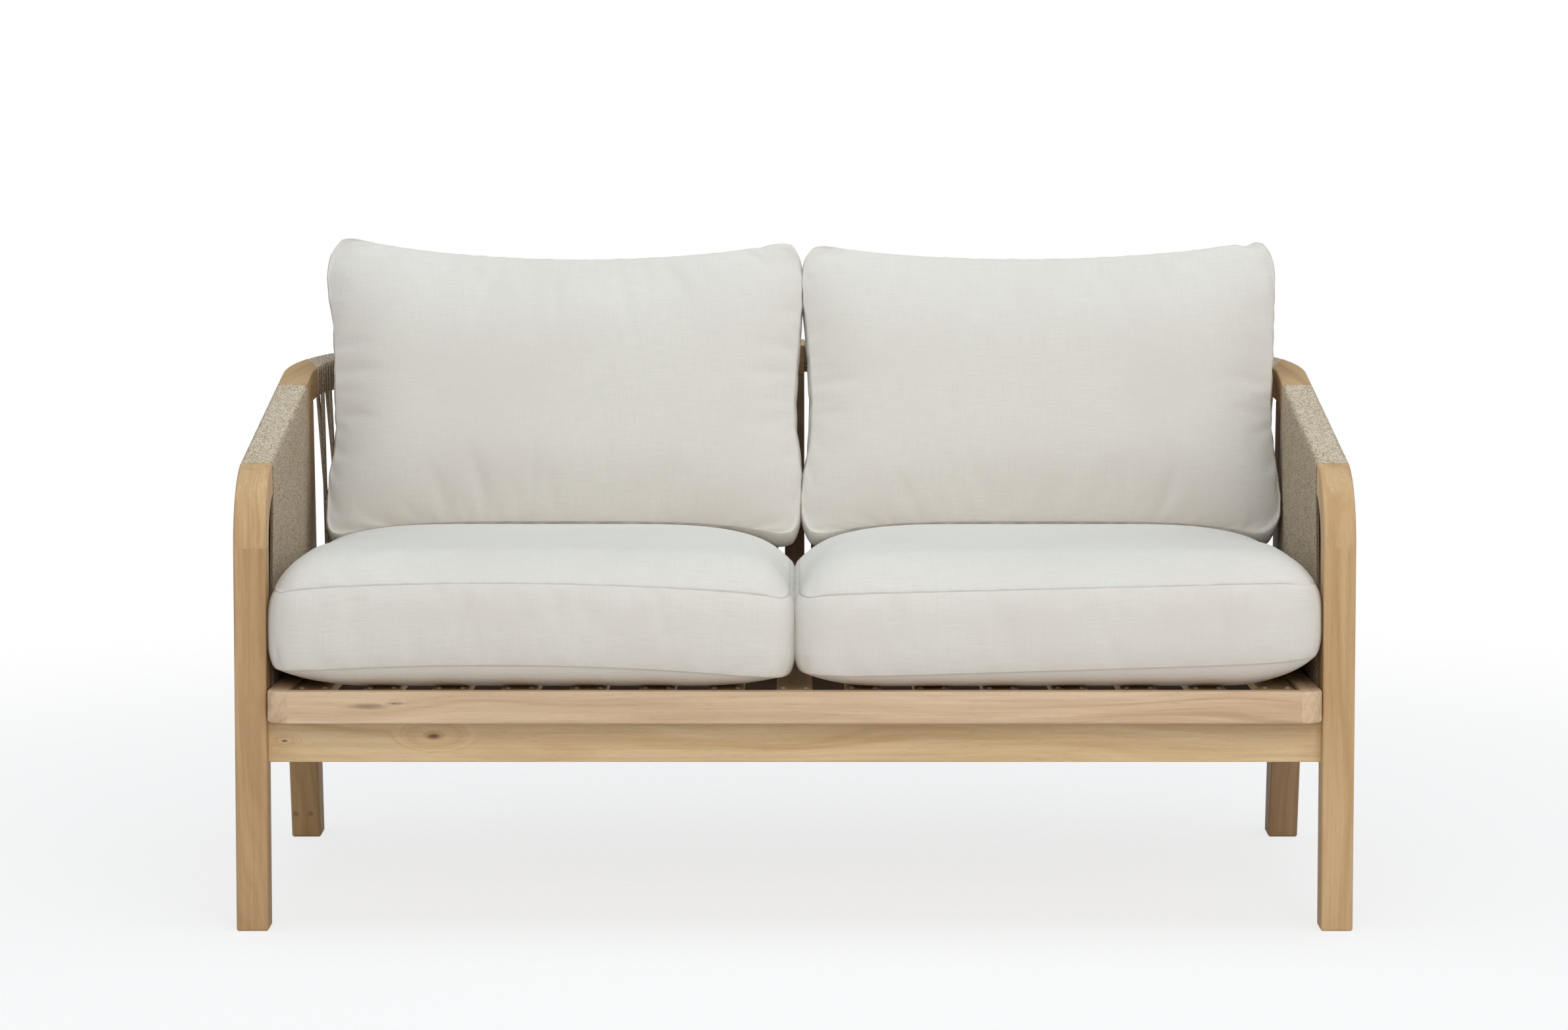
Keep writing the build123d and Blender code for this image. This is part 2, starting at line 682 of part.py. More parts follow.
def back_plane(place, way):
    """Plane of a turn of rope across the back rail: x_dir outwards, and up along the loop's normal."""
    outwards = arm_plane.from_local_coords(Vector(cos(radians(way)), sin(radians(way)), 0)) - arm_plane.origin
    return Plane(
        origin=on_arm(place[0], place[1], timber_deep / 2), x_dir=outwards, z_dir=outwards.cross(Vector(*arm_normal))
    )


with BuildPart() as back_sleeve:
    for index in range(2 * back_count + 1):
        groove = groove_at(index)
        hub, radius, place, way = back_station(index / (2 * back_count))
        outer = reach_to(hub, radius + wrap_wide / 2 - groove, place, way)
        inner = reach_to(hub, radius - wrap_wide / 2 + groove, place, way)
        with BuildSketch(back_plane(place, way)):
            with Locations(((outer + inner) / 2, 0)):
                Rectangle(outer - inner, wrap_deep - 2 * groove)
    loft(ruled=True)
    add(back_rail.part, mode=Mode.SUBTRACT)
    mortise(block_end)

low_start = leg_inner - strand_gap - rope / 2
low_middle = Vector(0, leg_face + back_low_y, back_low_z)
wall_middle = (core_wide + rope) / 2


def strand(head_share, foot_share, side):
    """A strand from the underside of the winding down to the top of the lower back rail's."""
    hub, radius, place, way = back_station(head_share)
    reach = reach_to(hub, radius + side * core_wide / 2, place, way)
    head = back_plane(place, way).from_local_coords(Vector(reach, -(core_deep + rope) / 2, 0))
    foot_x = low_start + (post_wide / 2 - low_start) * foot_share
    foot = low_middle + Vector(foot_x, side * core_wide / 2, wall_middle)
    rise = head - foot
    rod = Box(rope, rope, rise.length, align=from_base)
    return Plane(origin=foot, x_dir=(1, 0, 0), z_dir=rise).location * rod


strands = []
for index in range(back_count):
    head_share = (index + strand_head_share) / back_count
    strands.append(strand(head_share, (index + strand_foot_share) / back_count, -1))
    strands.append(strand(head_share, (index + strand_foot_share - 1) / back_count, 1))

with BuildPart() as back_rope:
    with BuildSketch(Plane.YZ.offset(post_wide / 2)):
        with Locations((leg_face + back_low_y, back_low_z)):
            Rectangle(core_wide + 2 * rope, core_wide + 2 * rope)
            Rectangle(core_wide, core_wide, mode=Mode.SUBTRACT)
    extrude(amount=leg_inner - strand_gap / 2 - post_wide / 2)
    add([back_sleeve.part] + strands)
finish_pair(back_rope, "back_rope")


def cushion(sections):
    """Lofts a cushion through outlines with round corners and a far side that may sag."""
    with BuildPart() as body:
        for plane, left, right, near, far, corner, sag in sections:
            turn = corner * (1 - 1 / sqrt(2))
            with BuildSketch(plane):
                with BuildLine():
                    Line((left + corner, near), (right - corner, near))
                    ThreePointArc((right - corner, near), (right - turn, near + turn), (right, near + corner))
                    Line((right, near + corner), (right, far - corner))
                    ThreePointArc((right, far - corner), (right - turn, far - turn), (right - corner, far))
                    if sag:
                        SagittaArc((right - corner, far), (left + corner, far), sag)
                    else:
                        Line((right - corner, far), (left + corner, far))
                    ThreePointArc((left + corner, far), (left + turn, far - turn), (left, far - corner))
                    Line((left, far - corner), (left, near + corner))
                    ThreePointArc((left, near + corner), (left + turn, near + turn), (left + corner, near))
                make_face()
        loft(ruled=True)
    return body.part


# Seat cushions: box cushions with a crowned top, their underside sunk between the seat rails
cushion_left = cushion_gap / 2
cushion_right = leg_inner - cushion_side_gap
cushion_near = cushion_set
cushion_far = cushion_set + cushion_deep
cushion_foot = cushion_clearance - slat_drop


def seat_section(height, inset, rear_inset):
    """Outline of a seat cushion at a height over the rails, with its inset and a rear one of its own."""
    corner = cushion_corner + inset * corner_growth_share
    return (
        seat_plane.offset(height),
        cushion_left + inset,
        cushion_right - inset,
        cushion_near + inset,
        cushion_far - rear_inset,
        corner,
        0,
    )


seat_sections = []
for way_share, drop_share in foot_shares:
    inset = seam_inset + (cushion_foot_inset - seam_inset) * way_share
    height = cushion_seam_low + (cushion_foot - cushion_seam_low) * drop_share
    seat_sections.append(seat_section(height, inset, inset))
seat_sections.append(seat_section(cushion_seam_low, seam_inset, seam_inset))
seat_sections.append(seat_section((cushion_seam_low + cushion_seam_high) / 2, 0, 0))
seat_sections.append(seat_section(cushion_seam_high, seam_inset, seam_inset))
for way_share, rise_share in crown_shares:
    inset = seam_inset + (crown_inset - seam_inset) * way_share
    rear_inset = seam_inset + (crown_rear_inset - seam_inset) * way_share
    seat_sections.append(seat_section(cushion_seam_high + cushion_crown * rise_share, inset, rear_inset))

with BuildPart() as seat_cushion:
    add(cushion(seat_sections))
finish_pair(seat_cushion, "seat_cushion")

# Back cushions: stand on the seat cushions' crowns and lean back into the loop
lean_sin = sin(radians(back_lean))
lean_cos = cos(radians(back_lean))
front_seam_y = leg_face + back_cushion_y - back_gusset / 2 * lean_cos
crown_top = seat_height + (cushion_seam_high + cushion_crown - (front_seam_y - seat_front) * seat_sin) / seat_cos
back_base = crown_top + cushion_clearance + back_cushion_rise - back_gusset / 2 * lean_sin
back_plane_middle = Plane(
    origin=(0, leg_face + back_cushion_y, back_base), x_dir=(1, 0, 0), z_dir=(0, -lean_cos, lean_sin)
)


def back_section(level, inset):
    """Outline of a back cushion at a level from its middle plane towards the front."""
    corner = cushion_corner + inset * corner_growth_share
    return (
        back_plane_middle.offset(level),
        back_cushion_gap / 2 + inset,
        half_width - back_side_gap - inset,
        inset,
        back_cushion_high - inset,
        corner,
        back_top_sag,
    )


back_sections = []
for way_share, rise_share in reversed(crown_shares):
    inset = back_rear_inset + (back_crown_inset - back_rear_inset) * way_share
    back_sections.append(back_section(-back_gusset / 2 - back_crown * rise_share, inset))
back_sections.append(back_section(-back_gusset / 2, back_rear_inset))
back_sections.append(back_section(0, 0))
back_sections.append(back_section(back_gusset / 2, seam_inset))
for way_share, rise_share in crown_shares:
    inset = seam_inset + (back_crown_inset - seam_inset) * way_share
    back_sections.append(back_section(back_gusset / 2 + back_crown * rise_share, inset))

with BuildPart() as back_cushion:
    add(cushion(back_sections))
finish_pair(back_cushion, "back_cushion")


def tenons(joints, label):
    """Writes the loose tenons of some joints, each joint with its tenon's width, as one set."""
    with BuildPart() as tongues:
        for joint, wide in joints:
            with Locations(joint.location):
                Box(wide, tenon_thick, 2 * tenon_reach)
    finish(tongues, label)


def both_sides(joints):
    """Joints on the right together with their mirror images."""
    return joints + [(other_side(joint), wide) for joint, wide in joints]


# Loose tenons, kept together by the pieces that they hold
arm_joints = [
    (elbow_foot, tenon_wide),
    (elbow_head, tenon_wide),
    (arm_end, tenon_wide),
    (leg_head, wide_tenon),
    (block_end, tenon_wide),
]
back_joints = [(back_low_end, low_tenon)]
post_joints = [(post_head, tenon_wide), (post_foot, tenon_wide)]
tenons(arm_joints, "right_arm_tenons")
tenons([(other_side(joint), wide) for joint, wide in arm_joints], "left_arm_tenons")
tenons(both_sides([(apron_end, wide_tenon), (rear_apron_end, low_tenon)]), "apron_tenons")
tenons(both_sides([(low_front, low_tenon), (low_back, low_tenon)]), "lower_side_tenons")
tenons(both_sides(back_joints) + post_joints, "back_tenons")
tenons(both_sides([(front_rail_end, tenon_wide), (rear_rail_end, tenon_wide)]), "seat_frame_tenons")

# Seat bolts: coach bolts driven through the side rails into the legs, their heads inside
with BuildPart() as bolts:
    for line in bolt_lines + [other_side(line) for line in bolt_lines]:
        with Locations(line.location):
            Cylinder(bolt_radius, bolt_long, align=from_base)
        with BuildSketch(line):
            RegularPolygon(bolt_head_radius, head_sides)
        extrude(amount=-bolt_head_high)
finish(bolts, "seat_bolts")
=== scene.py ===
# %% [markdown]
# # A patio loveseat, dressed for its portrait
# The seat comes in from CAD as a set of plain solids: timber, rope forms and four cushions. Here the
# rope is really wound, the cushions are sewn and filled, and every timber gets its own grain. The
# solids could be painted and left, but rope and cloth live from their small forms, so both are made
# anew. The timber's solids have the right shape already, so they stay.

from math import cos, pi, radians, sin

import bpy
import numpy as np
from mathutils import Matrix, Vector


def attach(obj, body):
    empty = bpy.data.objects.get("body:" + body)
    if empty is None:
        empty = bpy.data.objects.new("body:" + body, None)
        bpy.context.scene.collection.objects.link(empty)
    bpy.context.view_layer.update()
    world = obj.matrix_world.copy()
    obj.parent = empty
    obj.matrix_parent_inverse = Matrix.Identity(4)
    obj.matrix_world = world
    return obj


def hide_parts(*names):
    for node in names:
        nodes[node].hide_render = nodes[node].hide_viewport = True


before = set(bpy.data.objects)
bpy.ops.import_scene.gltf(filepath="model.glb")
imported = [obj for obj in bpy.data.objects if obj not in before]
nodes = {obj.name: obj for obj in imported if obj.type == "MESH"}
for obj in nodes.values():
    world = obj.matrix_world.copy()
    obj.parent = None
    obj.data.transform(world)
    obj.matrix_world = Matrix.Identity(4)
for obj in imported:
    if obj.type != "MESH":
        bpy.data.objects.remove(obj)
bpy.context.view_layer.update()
scene = bpy.context.scene

# %% [markdown]
# ## Sizes
# The rope and the cushions have to meet the timber exactly, so the few sizes that place the timber
# are written down again, in metres. The arms, the corners and the back rail lie in one sloping plane,
# and the seat frame in another. A point in either plane is easier to give by its own axes, so each
# plane gets a function that turns such points into the room's.

# %% Sizes of the timber, and its two sloping planes
half_width = 0.700
timber_wide, timber_deep, rebate = 0.040, 0.042, 0.0035
leg_face = -0.36692
leg_height, elbow_radius = 0.4834, 0.100
arm_slope, arm_length, block_straight = radians(8.7), 0.410, 0.0706
corner_radius, corner_turn, block_turn, block_cut = 0.150, radians(80), radians(26), radians(69)
core_wide, core_deep = timber_wide - 2 * rebate, timber_deep - 2 * rebate
leg_middle = half_width - timber_wide / 2
slope_sin, slope_cos = sin(arm_slope), cos(arm_slope)
elbow_end = np.array([0, leg_face + elbow_radius * (1 - slope_sin), leg_height + elbow_radius * slope_cos])
rope_end = elbow_radius * (1 - slope_sin) + arm_length * slope_cos
arm_along = np.array([0, slope_cos, slope_sin])
arm_up = np.array([0, -slope_sin, slope_cos])
seat_tilt = radians(2)
seat_front = np.array([0, leg_face - 0.030, 0.3078])
seat_along = np.array([0, cos(seat_tilt), -sin(seat_tilt)])
seat_up = np.array([0, sin(seat_tilt), cos(seat_tilt)])
across = np.array([1.0, 0, 0])
halves = {"left": -1, "right": 1}


def on_plane(start, first, second, *place):
    """Place from a start: so far across, so far in a first direction and so far in a second."""
    x, along, height = (part[..., None] for part in np.broadcast_arrays(*place))
    return start + x * across + along * first + height * second


def on_arm(x, along, height):
    """Place in the arm's plane: across, along the slope from the elbow, and above the top face."""
    return on_plane(elbow_end, arm_along, arm_up, x, along, height)


def on_seat(x, along, height):
    """Place over the seat frame: across, back from its front edge, and above its top face."""
    return on_plane(seat_front, seat_along, seat_up, x, along, height)


# %% [markdown]
# ## Camera, floor and light
# The photograph was taken with a long lens from a little over five metres, just above the height of
# the cushions' tops. The light is that of a white studio: soft from above, with fill from the front.
# The floor is pale, and a part of it glows for the camera alone, so that it reads as white while it
# keeps the seat's soft shadow. Nothing of that glow reaches the seat.

# %% Camera
def put(name, data):
    """A new object with its data, put into the scene."""
    made = bpy.data.objects.new(name, data)
    scene.collection.objects.link(made)
    return made


camera = put("camera", bpy.data.cameras.new("camera"))
camera.location = (0, leg_face - 5.5116, 1.1869)
camera.rotation_euler = (radians(90 - 4.5), 0, 0)
camera.data.lens = 102.27
camera.data.sensor_width = 36
camera.data.shift_x = -0.0068
camera.data.shift_y = -0.1161
camera.data.clip_end = 200
scene.camera = camera

# %% Lamps and world
lamps = {
    "overhead": ((0, -0.3, 3.2), (0, 0, 0.4), 3.2, 2.6, 54, (0.76, 0.91, 1.0)),
    "front": ((0.6, -4.2, 2.1), (0, 0, 0.5), 3.6, 2.4, 76, (1.0, 0.978, 0.955)),
    "left": ((-3.4, -1.8, 1.9), (0, 0, 0.5), 2.0, 2.0, 8, (1.0, 0.98, 0.96)),
    "right": ((3.4, -1.8, 1.9), (0, 0, 0.5), 2.0, 2.0, 16, (1.0, 0.98, 0.96)),
}
for name, (place, aim, wide, high, watts, colour) in lamps.items():
    lamp = bpy.data.lights.new(name, "AREA")
    lamp.shape, lamp.size, lamp.size_y = "RECTANGLE", wide, high
    lamp.energy, lamp.color = watts, colour
    holder = put(name, lamp)
    holder.location = place
    way = Vector(aim) - Vector(place)
    holder.rotation_euler = way.to_track_quat("-Z", "Y").to_euler()
scene.view_settings.view_transform = "Standard"

# %% [markdown]
# ## Shader maths as Python
# A grain or a weave is a formula, and a formula is easiest to read as one. `Wire` wraps a socket, so
# that `1 - mask * 0.5` adds the two Math nodes by itself. `Finish` is a material: its one method
# `node` makes any node from its type, its settings and the values or wires of its sockets.


# %% Wires and finishes
class Wire:
    """A socket to reckon with: each operator adds one Math node."""

    def __init__(self, finish, socket):
        self.finish, self.socket = finish, socket

    def maths(self, operation, *values):
        return self.finish.node("ShaderNodeMath", {"operation": operation}, *values)

    def __add__(self, other):
        return self.maths("ADD", self, other)

    def __sub__(self, other):
        return self.maths("SUBTRACT", self, other)

    def __rsub__(self, other):
        return self.maths("SUBTRACT", other, self)

    def __mul__(self, other):
        return self.maths("MULTIPLY", self, other)

    __radd__, __rmul__ = __add__, __mul__

    def wave(self):
        return self.maths("SINE", self)

    def size(self):
        return self.maths("ABSOLUTE", self)

    def ramp(self, low, high):
        """0 under low, 1 over high, and a smooth rise between."""
        settings = {"interpolation_type": "SMOOTHSTEP"}
        return self.finish.node("ShaderNodeMapRange", settings, self, low, high, 0.0, 1.0)


class Finish:
    """A material whose nodes are made by one method."""

    def __init__(self, name, roughness):
        self.material = bpy.data.materials.new(name)
        self.material.use_nodes = True
        self.tree = self.material.node_tree
        self.shader = self.tree.nodes["Principled BSDF"]
        self.set(self.shader, "Roughness", roughness)
        self.set(self.shader, "Specular IOR Level", 0.3)

    def set(self, node, socket, value):
        """Puts a number, a colour or a wire into a node's socket."""
        target = node.inputs[socket]
        if isinstance(value, Wire):
            self.tree.links.new(value.socket, target)
        else:
            target.default_value = value

    def node(self, kind, settings, *values, out=0, **named):
        """Makes a node: its settings first, then its sockets in order, or by name."""
        made = self.tree.nodes.new(kind)
        for name, value in settings.items():
            setattr(made, name, value)
        for index, value in enumerate(values):
            self.set(made, index, value)
        for name, value in named.items():
            self.set(made, name.replace("_", " "), value)
        return Wire(self, made.outputs[out])

    def places(self):
        """The surface's place in the room, as a vector."""
        return self.node("ShaderNodeTexCoord", {}, out=3)

    def own_map(self):
        """The piece's own UV map, as two wires."""
        parts = self.node("ShaderNodeSeparateXYZ", {}, self.node("ShaderNodeTexCoord", {}, out=2))
        return parts, Wire(self, parts.socket.node.outputs[1])

    def along(self, places, way):
        """How far places lie along a direction."""
        return self.node("ShaderNodeVectorMath", {"operation": "DOT_PRODUCT"}, places, tuple(way), out=1)

    def vector(self, x, y, z=0.0):
        return self.node("ShaderNodeCombineXYZ", {}, x, y, z)

    def noise(self, vector, scale, detail, roughness=0.5):
        return self.node(
            "ShaderNodeTexNoise", {}, Vector=vector, Scale=scale, Detail=detail, Roughness=roughness
        )

    def mix(self, share, first, second):
        """Mixes two colours."""
        made = self.node("ShaderNodeMix", {"data_type": "RGBA"}, share, out=2)
        for socket, value in ((6, first), (7, second)):
            self.set(made.socket.node, socket, value if isinstance(value, Wire) else (*value, 1.0))
        return made

    def paint(self, colour, roughness, height, bump, strength=1.0):
        """Connects what changes over the surface to the shader."""
        normal = self.node("ShaderNodeBump", {}, Strength=strength, Distance=bump, Height=height)
        for socket, value in (("Base Color", colour), ("Roughness", roughness), ("Normal", normal)):
            self.set(self.shader, socket, value)
        return self.material


def linear(red, green, blue):
    """A colour as a painter names it, 0 to 255, turned into light by the screen's curve."""
    shares = np.array([red, green, blue]) / 255
    return np.where(shares < 0.04045, shares / 12.92, ((shares + 0.055) / 1.055) ** 2.4)


# %% [markdown]
# ## Floor
# A wide plane. Its paint is nearly white, and for the camera most of what it shows is a plain glow,
# all of it from a few metres out. What is left of the paint near the seat keeps the shadow.

# %% Floor and world
floor_finish = Finish("floor_paint", 0.9)
floor_finish.set(floor_finish.shader, "Base Color", (0.86, 0.86, 0.86, 1))
ray = floor_finish.node("ShaderNodeLightPath", {})
glow = floor_finish.node("ShaderNodeEmission", {}, (1, 1, 1, 1), 1.0)
bare = Wire(floor_finish, floor_finish.shader.outputs[0])
far = floor_finish.node("ShaderNodeVectorMath", {"operation": "LENGTH"}, floor_finish.places(), out=1)
near_glow = 0.76
glow_share = far.ramp(0.9, 2.6) * (1 - near_glow) + near_glow
floor_mix = floor_finish.node("ShaderNodeMixShader", {}, ray * glow_share, bare, glow)
floor_output = floor_finish.tree.nodes["Material Output"]
floor_finish.tree.links.new(floor_mix.socket, floor_output.inputs[0])


def surface(name, points, faces, material, smooth=True):
    """A mesh from points and faces, with one material."""
    mesh = bpy.data.meshes.new(name)
    mesh.from_pydata(points.tolist(), [], faces)
    mesh.polygons.foreach_set("use_smooth", np.full(len(mesh.polygons), smooth))
    mesh.materials.append(material)
    return mesh


def tube_faces(rings, around):
    """Quads between rings of points that follow each other, and a lid on each end."""
    low, step = np.meshgrid(np.arange(rings - 1) * around, np.arange(around), indexing="ij")
    after, high = (step + 1) % around, low + around
    quads = np.stack([low + step, low + after, high + after, high + step], -1).reshape(-1, 4)
    lids = range(around - 1, -1, -1), range((rings - 1) * around, rings * around)
    return quads.tolist() + [list(lid) for lid in lids]


floor_corners = np.array([(-1, -1, 0), (1, -1, 0), (1, 1, 0), (-1, 1, 0)]) * 60.0
floor = put("floor", surface("floor", floor_corners, [(0, 1, 2, 3)], floor_finish.material, False))

world = bpy.data.worlds.new("studio")
scene.world = world
world.use_nodes = True
sky = world.node_tree
room, backdrop = sky.nodes["Background"], sky.nodes.new("ShaderNodeBackground")
room.inputs["Color"].default_value = (0.97, 0.98, 1.0, 1)
room.inputs["Strength"].default_value = 0.33
backdrop.inputs["Color"].default_value = (1, 1, 1, 1)
camera_ray = sky.nodes.new("ShaderNodeLightPath").outputs["Is Camera Ray"]
choice = sky.nodes.new("ShaderNodeMixShader")
for index, output in enumerate((camera_ray, room.outputs[0], backdrop.outputs[0])):
    sky.links.new(output, choice.inputs[index])
sky.links.new(choice.outputs[0], sky.nodes["World Output"].inputs["Surface"])

# %% [markdown]
# ## Wood
# The timber is a pale acacia under oil: honey-coloured, with soft bands of growth, fine pores that
# lie along the grain, and now and then a knot. A board's grain runs along it, so each material is
# given the direction of its board and measures everything along and across that. The bands are a
# slow noise stretched along the board, the pores a fast one stretched more, and a knot bends the
# bands round itself: how near its eye is gets added to where the bands fall.


# %% The wood's formula
def wood(name, way, side, tone, seed, knots=(), streaks=()):
    """Acacia along a direction. Knots are (place, radius); streaks are grey-brown smears, the same way."""
    finish = Finish(name, 0.46)
    way = np.array(way) / np.linalg.norm(way)
    side = np.array(side) - way * np.dot(side, way)
    side = side / np.linalg.norm(side)
    thick = np.cross(way, side)
    places = finish.places()
    u, v, w = (finish.along(places, axis) for axis in (way, side, thick))
    u, v, w = u + seed * 3.17, v + seed * 1.31, w + seed * 0.73

    def distance(place, squeeze):
        """Distance from a place, with the part along the board made shorter."""
        offset = finish.node("ShaderNodeVectorMath", {"operation": "SUBTRACT"}, places, tuple(place))
        du, dv, dw = (finish.along(offset, axis) for axis in (way, side, thick))
        shorter = finish.vector(du * squeeze, dv, dw)
        return finish.node("ShaderNodeVectorMath", {"operation": "LENGTH"}, shorter, out=1)

    bend = finish.noise(finish.vector(u * 1.6, v * 9.0, w * 9.0), 1.0, 2.0)
    rings = (v * 0.9 + w * 0.55) * 58.0 + bend * 9.0
    eyes = None
    for place, radius in knots:
        near = distance(place, 0.42)
        pull = 1 - near.ramp(radius * 0.4, radius * 6.0)
        rings = rings + pull * 7.0
        eye = 1 - near.ramp(radius * 0.25, radius * 1.15)
        eyes = eye if eyes is None else eyes + eye
    bands = finish.noise(finish.vector(rings, u * 0.9, 0.0), 1.0, 3.0, 0.6)
    fibre = finish.noise(finish.vector(u * 9.0, v * 330.0, w * 330.0), 1.0, 3.0, 0.65)
    pores = finish.noise(finish.vector(u * 55.0, v * 900.0, w * 900.0), 1.0, 1.0).ramp(0.63, 0.74)
    cloud = finish.noise(finish.vector(u * 2.2, v * 7.0, w * 7.0), 1.0, 2.0)
    light, middle, dark = (linear(*colour) for colour in tone)
    colour = finish.mix(bands.ramp(0.36, 0.66), light, middle)
    colour = finish.mix(bands.ramp(0.58, 0.80) * 0.55, colour, dark)
    colour = finish.mix(cloud.ramp(0.35, 0.75) * 0.35, colour, middle * 0.92)
    flow = finish.noise(finish.vector(u * 3.2, v * 105.0, w * 105.0), 1.0, 3.0, 0.6)
    colour = finish.mix(flow.ramp(0.42, 0.70) * 0.34, colour, middle * 0.80)
    colour = finish.mix((1 - flow.ramp(0.30, 0.48)) * 0.30, colour, light * 1.06)
    colour = finish.mix(fibre.ramp(0.42, 0.80) * 0.20, colour, dark)
    colour = finish.mix(pores * 0.15, colour, dark * 0.55)
    for place, radius in streaks:
        ragged = distance(place, 0.16) + (fibre - 0.5) * radius * 1.1
        colour = finish.mix((1 - ragged.ramp(radius * 0.1, radius)) * 0.62, colour, linear(112, 92, 82))
    if eyes is not None:
        colour = finish.mix(eyes * 0.85, colour, linear(92, 66, 46))
    height = fibre * 0.5 - pores * 0.8
    return finish.paint(colour, 0.40 + fibre * 0.16, height, bump=0.00035, strength=0.5)


honey = ((205, 171, 127), (191, 153, 107), (152, 113, 75))
shade = ((197, 161, 118), (181, 143, 101), (146, 108, 73))
pale = ((226, 198, 156), (212, 178, 132), (166, 126, 88))
tan = ((221, 194, 162), (205, 172, 138), (158, 122, 94))
deep = ((180, 146, 110), (162, 126, 92), (122, 90, 62))
painted_shade_dusky = ((128, 100, 72), (110, 84, 58), (82, 60, 40))
painted_shade_umber = ((84, 63, 44), (68, 50, 34), (50, 36, 24))
upright, sideways, backward = (0, 0, 1), (1, 0, 0), (0, 1, 0)

# %% [markdown]
# ## Every board its own
# No two boards in a real seat match. Each timber gets its own seed, so that its bands fall elsewhere,
# and one of a few tones: honey for most legs and arms, pale for the apron and the slats, a pinker tan
# for the rails, and deep for the right rear leg and its plugs. Darker tones are painted shade: the
# left front leg's, and the deep, dusky and umber ones on the post and the seat's rear rail, cleats
# and bearer, which lie in shadow.

# %% Wood on the timber
apron_face, rail_face = leg_face + 0.020, seat_front[1]
apron_knots = [((-0.453, apron_face, 0.244), 0.0042), ((-0.640, apron_face, 0.238), 0.002)]
rail_knots = [((-0.498, rail_face, 0.2935), 0.0012)]
rail_smears = [((-0.530, rail_face, 0.290), 0.006), ((-0.495, rail_face, 0.2935), 0.0032)]
# each row is a node, the way of its grain, a side of the board, its tone, and knots and smears if any
boards = [
    # the left front leg's darker tone is painted shade
    ("left_front_leg", upright, sideways, shade),
    ("right_front_leg", upright, sideways, honey),
    ("left_front_elbow", (0, 0.35, 1), sideways, honey),
    ("right_front_elbow", (0, 0.35, 1), sideways, honey),
    ("left_arm_rail", arm_along, sideways, honey),
    ("right_arm_rail", arm_along, sideways, honey),
    ("left_corner_block", (0.35, 1, 0.15), sideways, honey),
    ("right_corner_block", (-0.35, 1, 0.15), sideways, honey),
    ("back_top_rail", sideways, backward, honey),
    ("left_rear_leg", (0, -0.25, 1), sideways, honey),
    ("right_rear_leg", (0, -0.25, 1), sideways, deep),
    ("rear_leg_plugs", (0, -1, -0.25), sideways, deep),
    ("front_apron", sideways, upright, pale, apron_knots),
    ("rear_apron", sideways, upright, tan),
    ("left_lower_side_rail", backward, sideways, honey),
    ("right_lower_side_rail", backward, sideways, honey),
    ("back_lower_rail", sideways, backward, tan),
    # painted shade: the post stands in shadow between the back cushions
    ("back_post", upright, sideways, painted_shade_dusky),
    ("left_seat_side_rail", seat_along, sideways, tan),
    ("right_seat_side_rail", seat_along, sideways, tan),
    ("seat_front_rail", sideways, upright, tan, rail_knots, rail_smears),
    # painted shade: the seat's rear rail, its cleats and its bearer lie in shadow under the cushions
    ("seat_rear_rail", sideways, backward, deep),
    ("seat_front_cleat", sideways, backward, painted_shade_dusky),
    ("seat_middle_bearer", sideways, backward, painted_shade_umber),
    ("seat_rear_cleat", sideways, backward, painted_shade_dusky),
    ("seat_slats", seat_along, sideways, pale),
]


def dress(name, material):
    """Gives a CAD piece its material."""
    mesh = nodes[name].data
    mesh.materials.clear()
    mesh.materials.append(material)


for seed, (name, way, side, tone, *marks) in enumerate(boards, 1):
    dress(name, wood(name + "_wood", way, side, tone, seed, *marks))
for name in nodes:
    if name.endswith("tenons"):
        dress(name, wood(name + "_wood", sideways, backward, tan, len(boards) + 1))
print(len(boards), "boards and the tenons")

# %% [markdown]
# ## Steel
# The screws and coach bolts are plated with zinc, which is paler and duller than bare steel, so its
# metal share is under one, and faint scuffs change its gloss.

# %% Steel
steel = Finish("zinc_plate", 0.38)
steel.set(steel.shader, "Metallic", 0.6)
scuffs = steel.noise(steel.places(), 900.0, 2.0)
zinc_colour = steel.mix(scuffs, linear(214, 210, 202), linear(236, 233, 226))
steel_finish = steel.paint(zinc_colour, 0.30 + scuffs * 0.2, scuffs, bump=0.0001)
for name in ("slat_screws", "seat_bolts"):
    dress(name, steel_finish)

# %% [markdown]
# ## Screw heads
# Two screws hold each end of a slat, and their heads stand a little proud of it. A head is a low dome:
# a profile of four rings turned about the screw. The same few points are laid at all sixty places.

# %% Heads on the slats
slat_count, slat_pitch, screw_pitch, slats_under = 15, 0.08664, 0.029, 0.005
screw_rows = (0.080, rope_end + 0.057)
head_rings = np.array([(0.0037, -0.0002), (0.0037, 0.0006), (0.0026, 0.0017), (0.0012, 0.0022)])


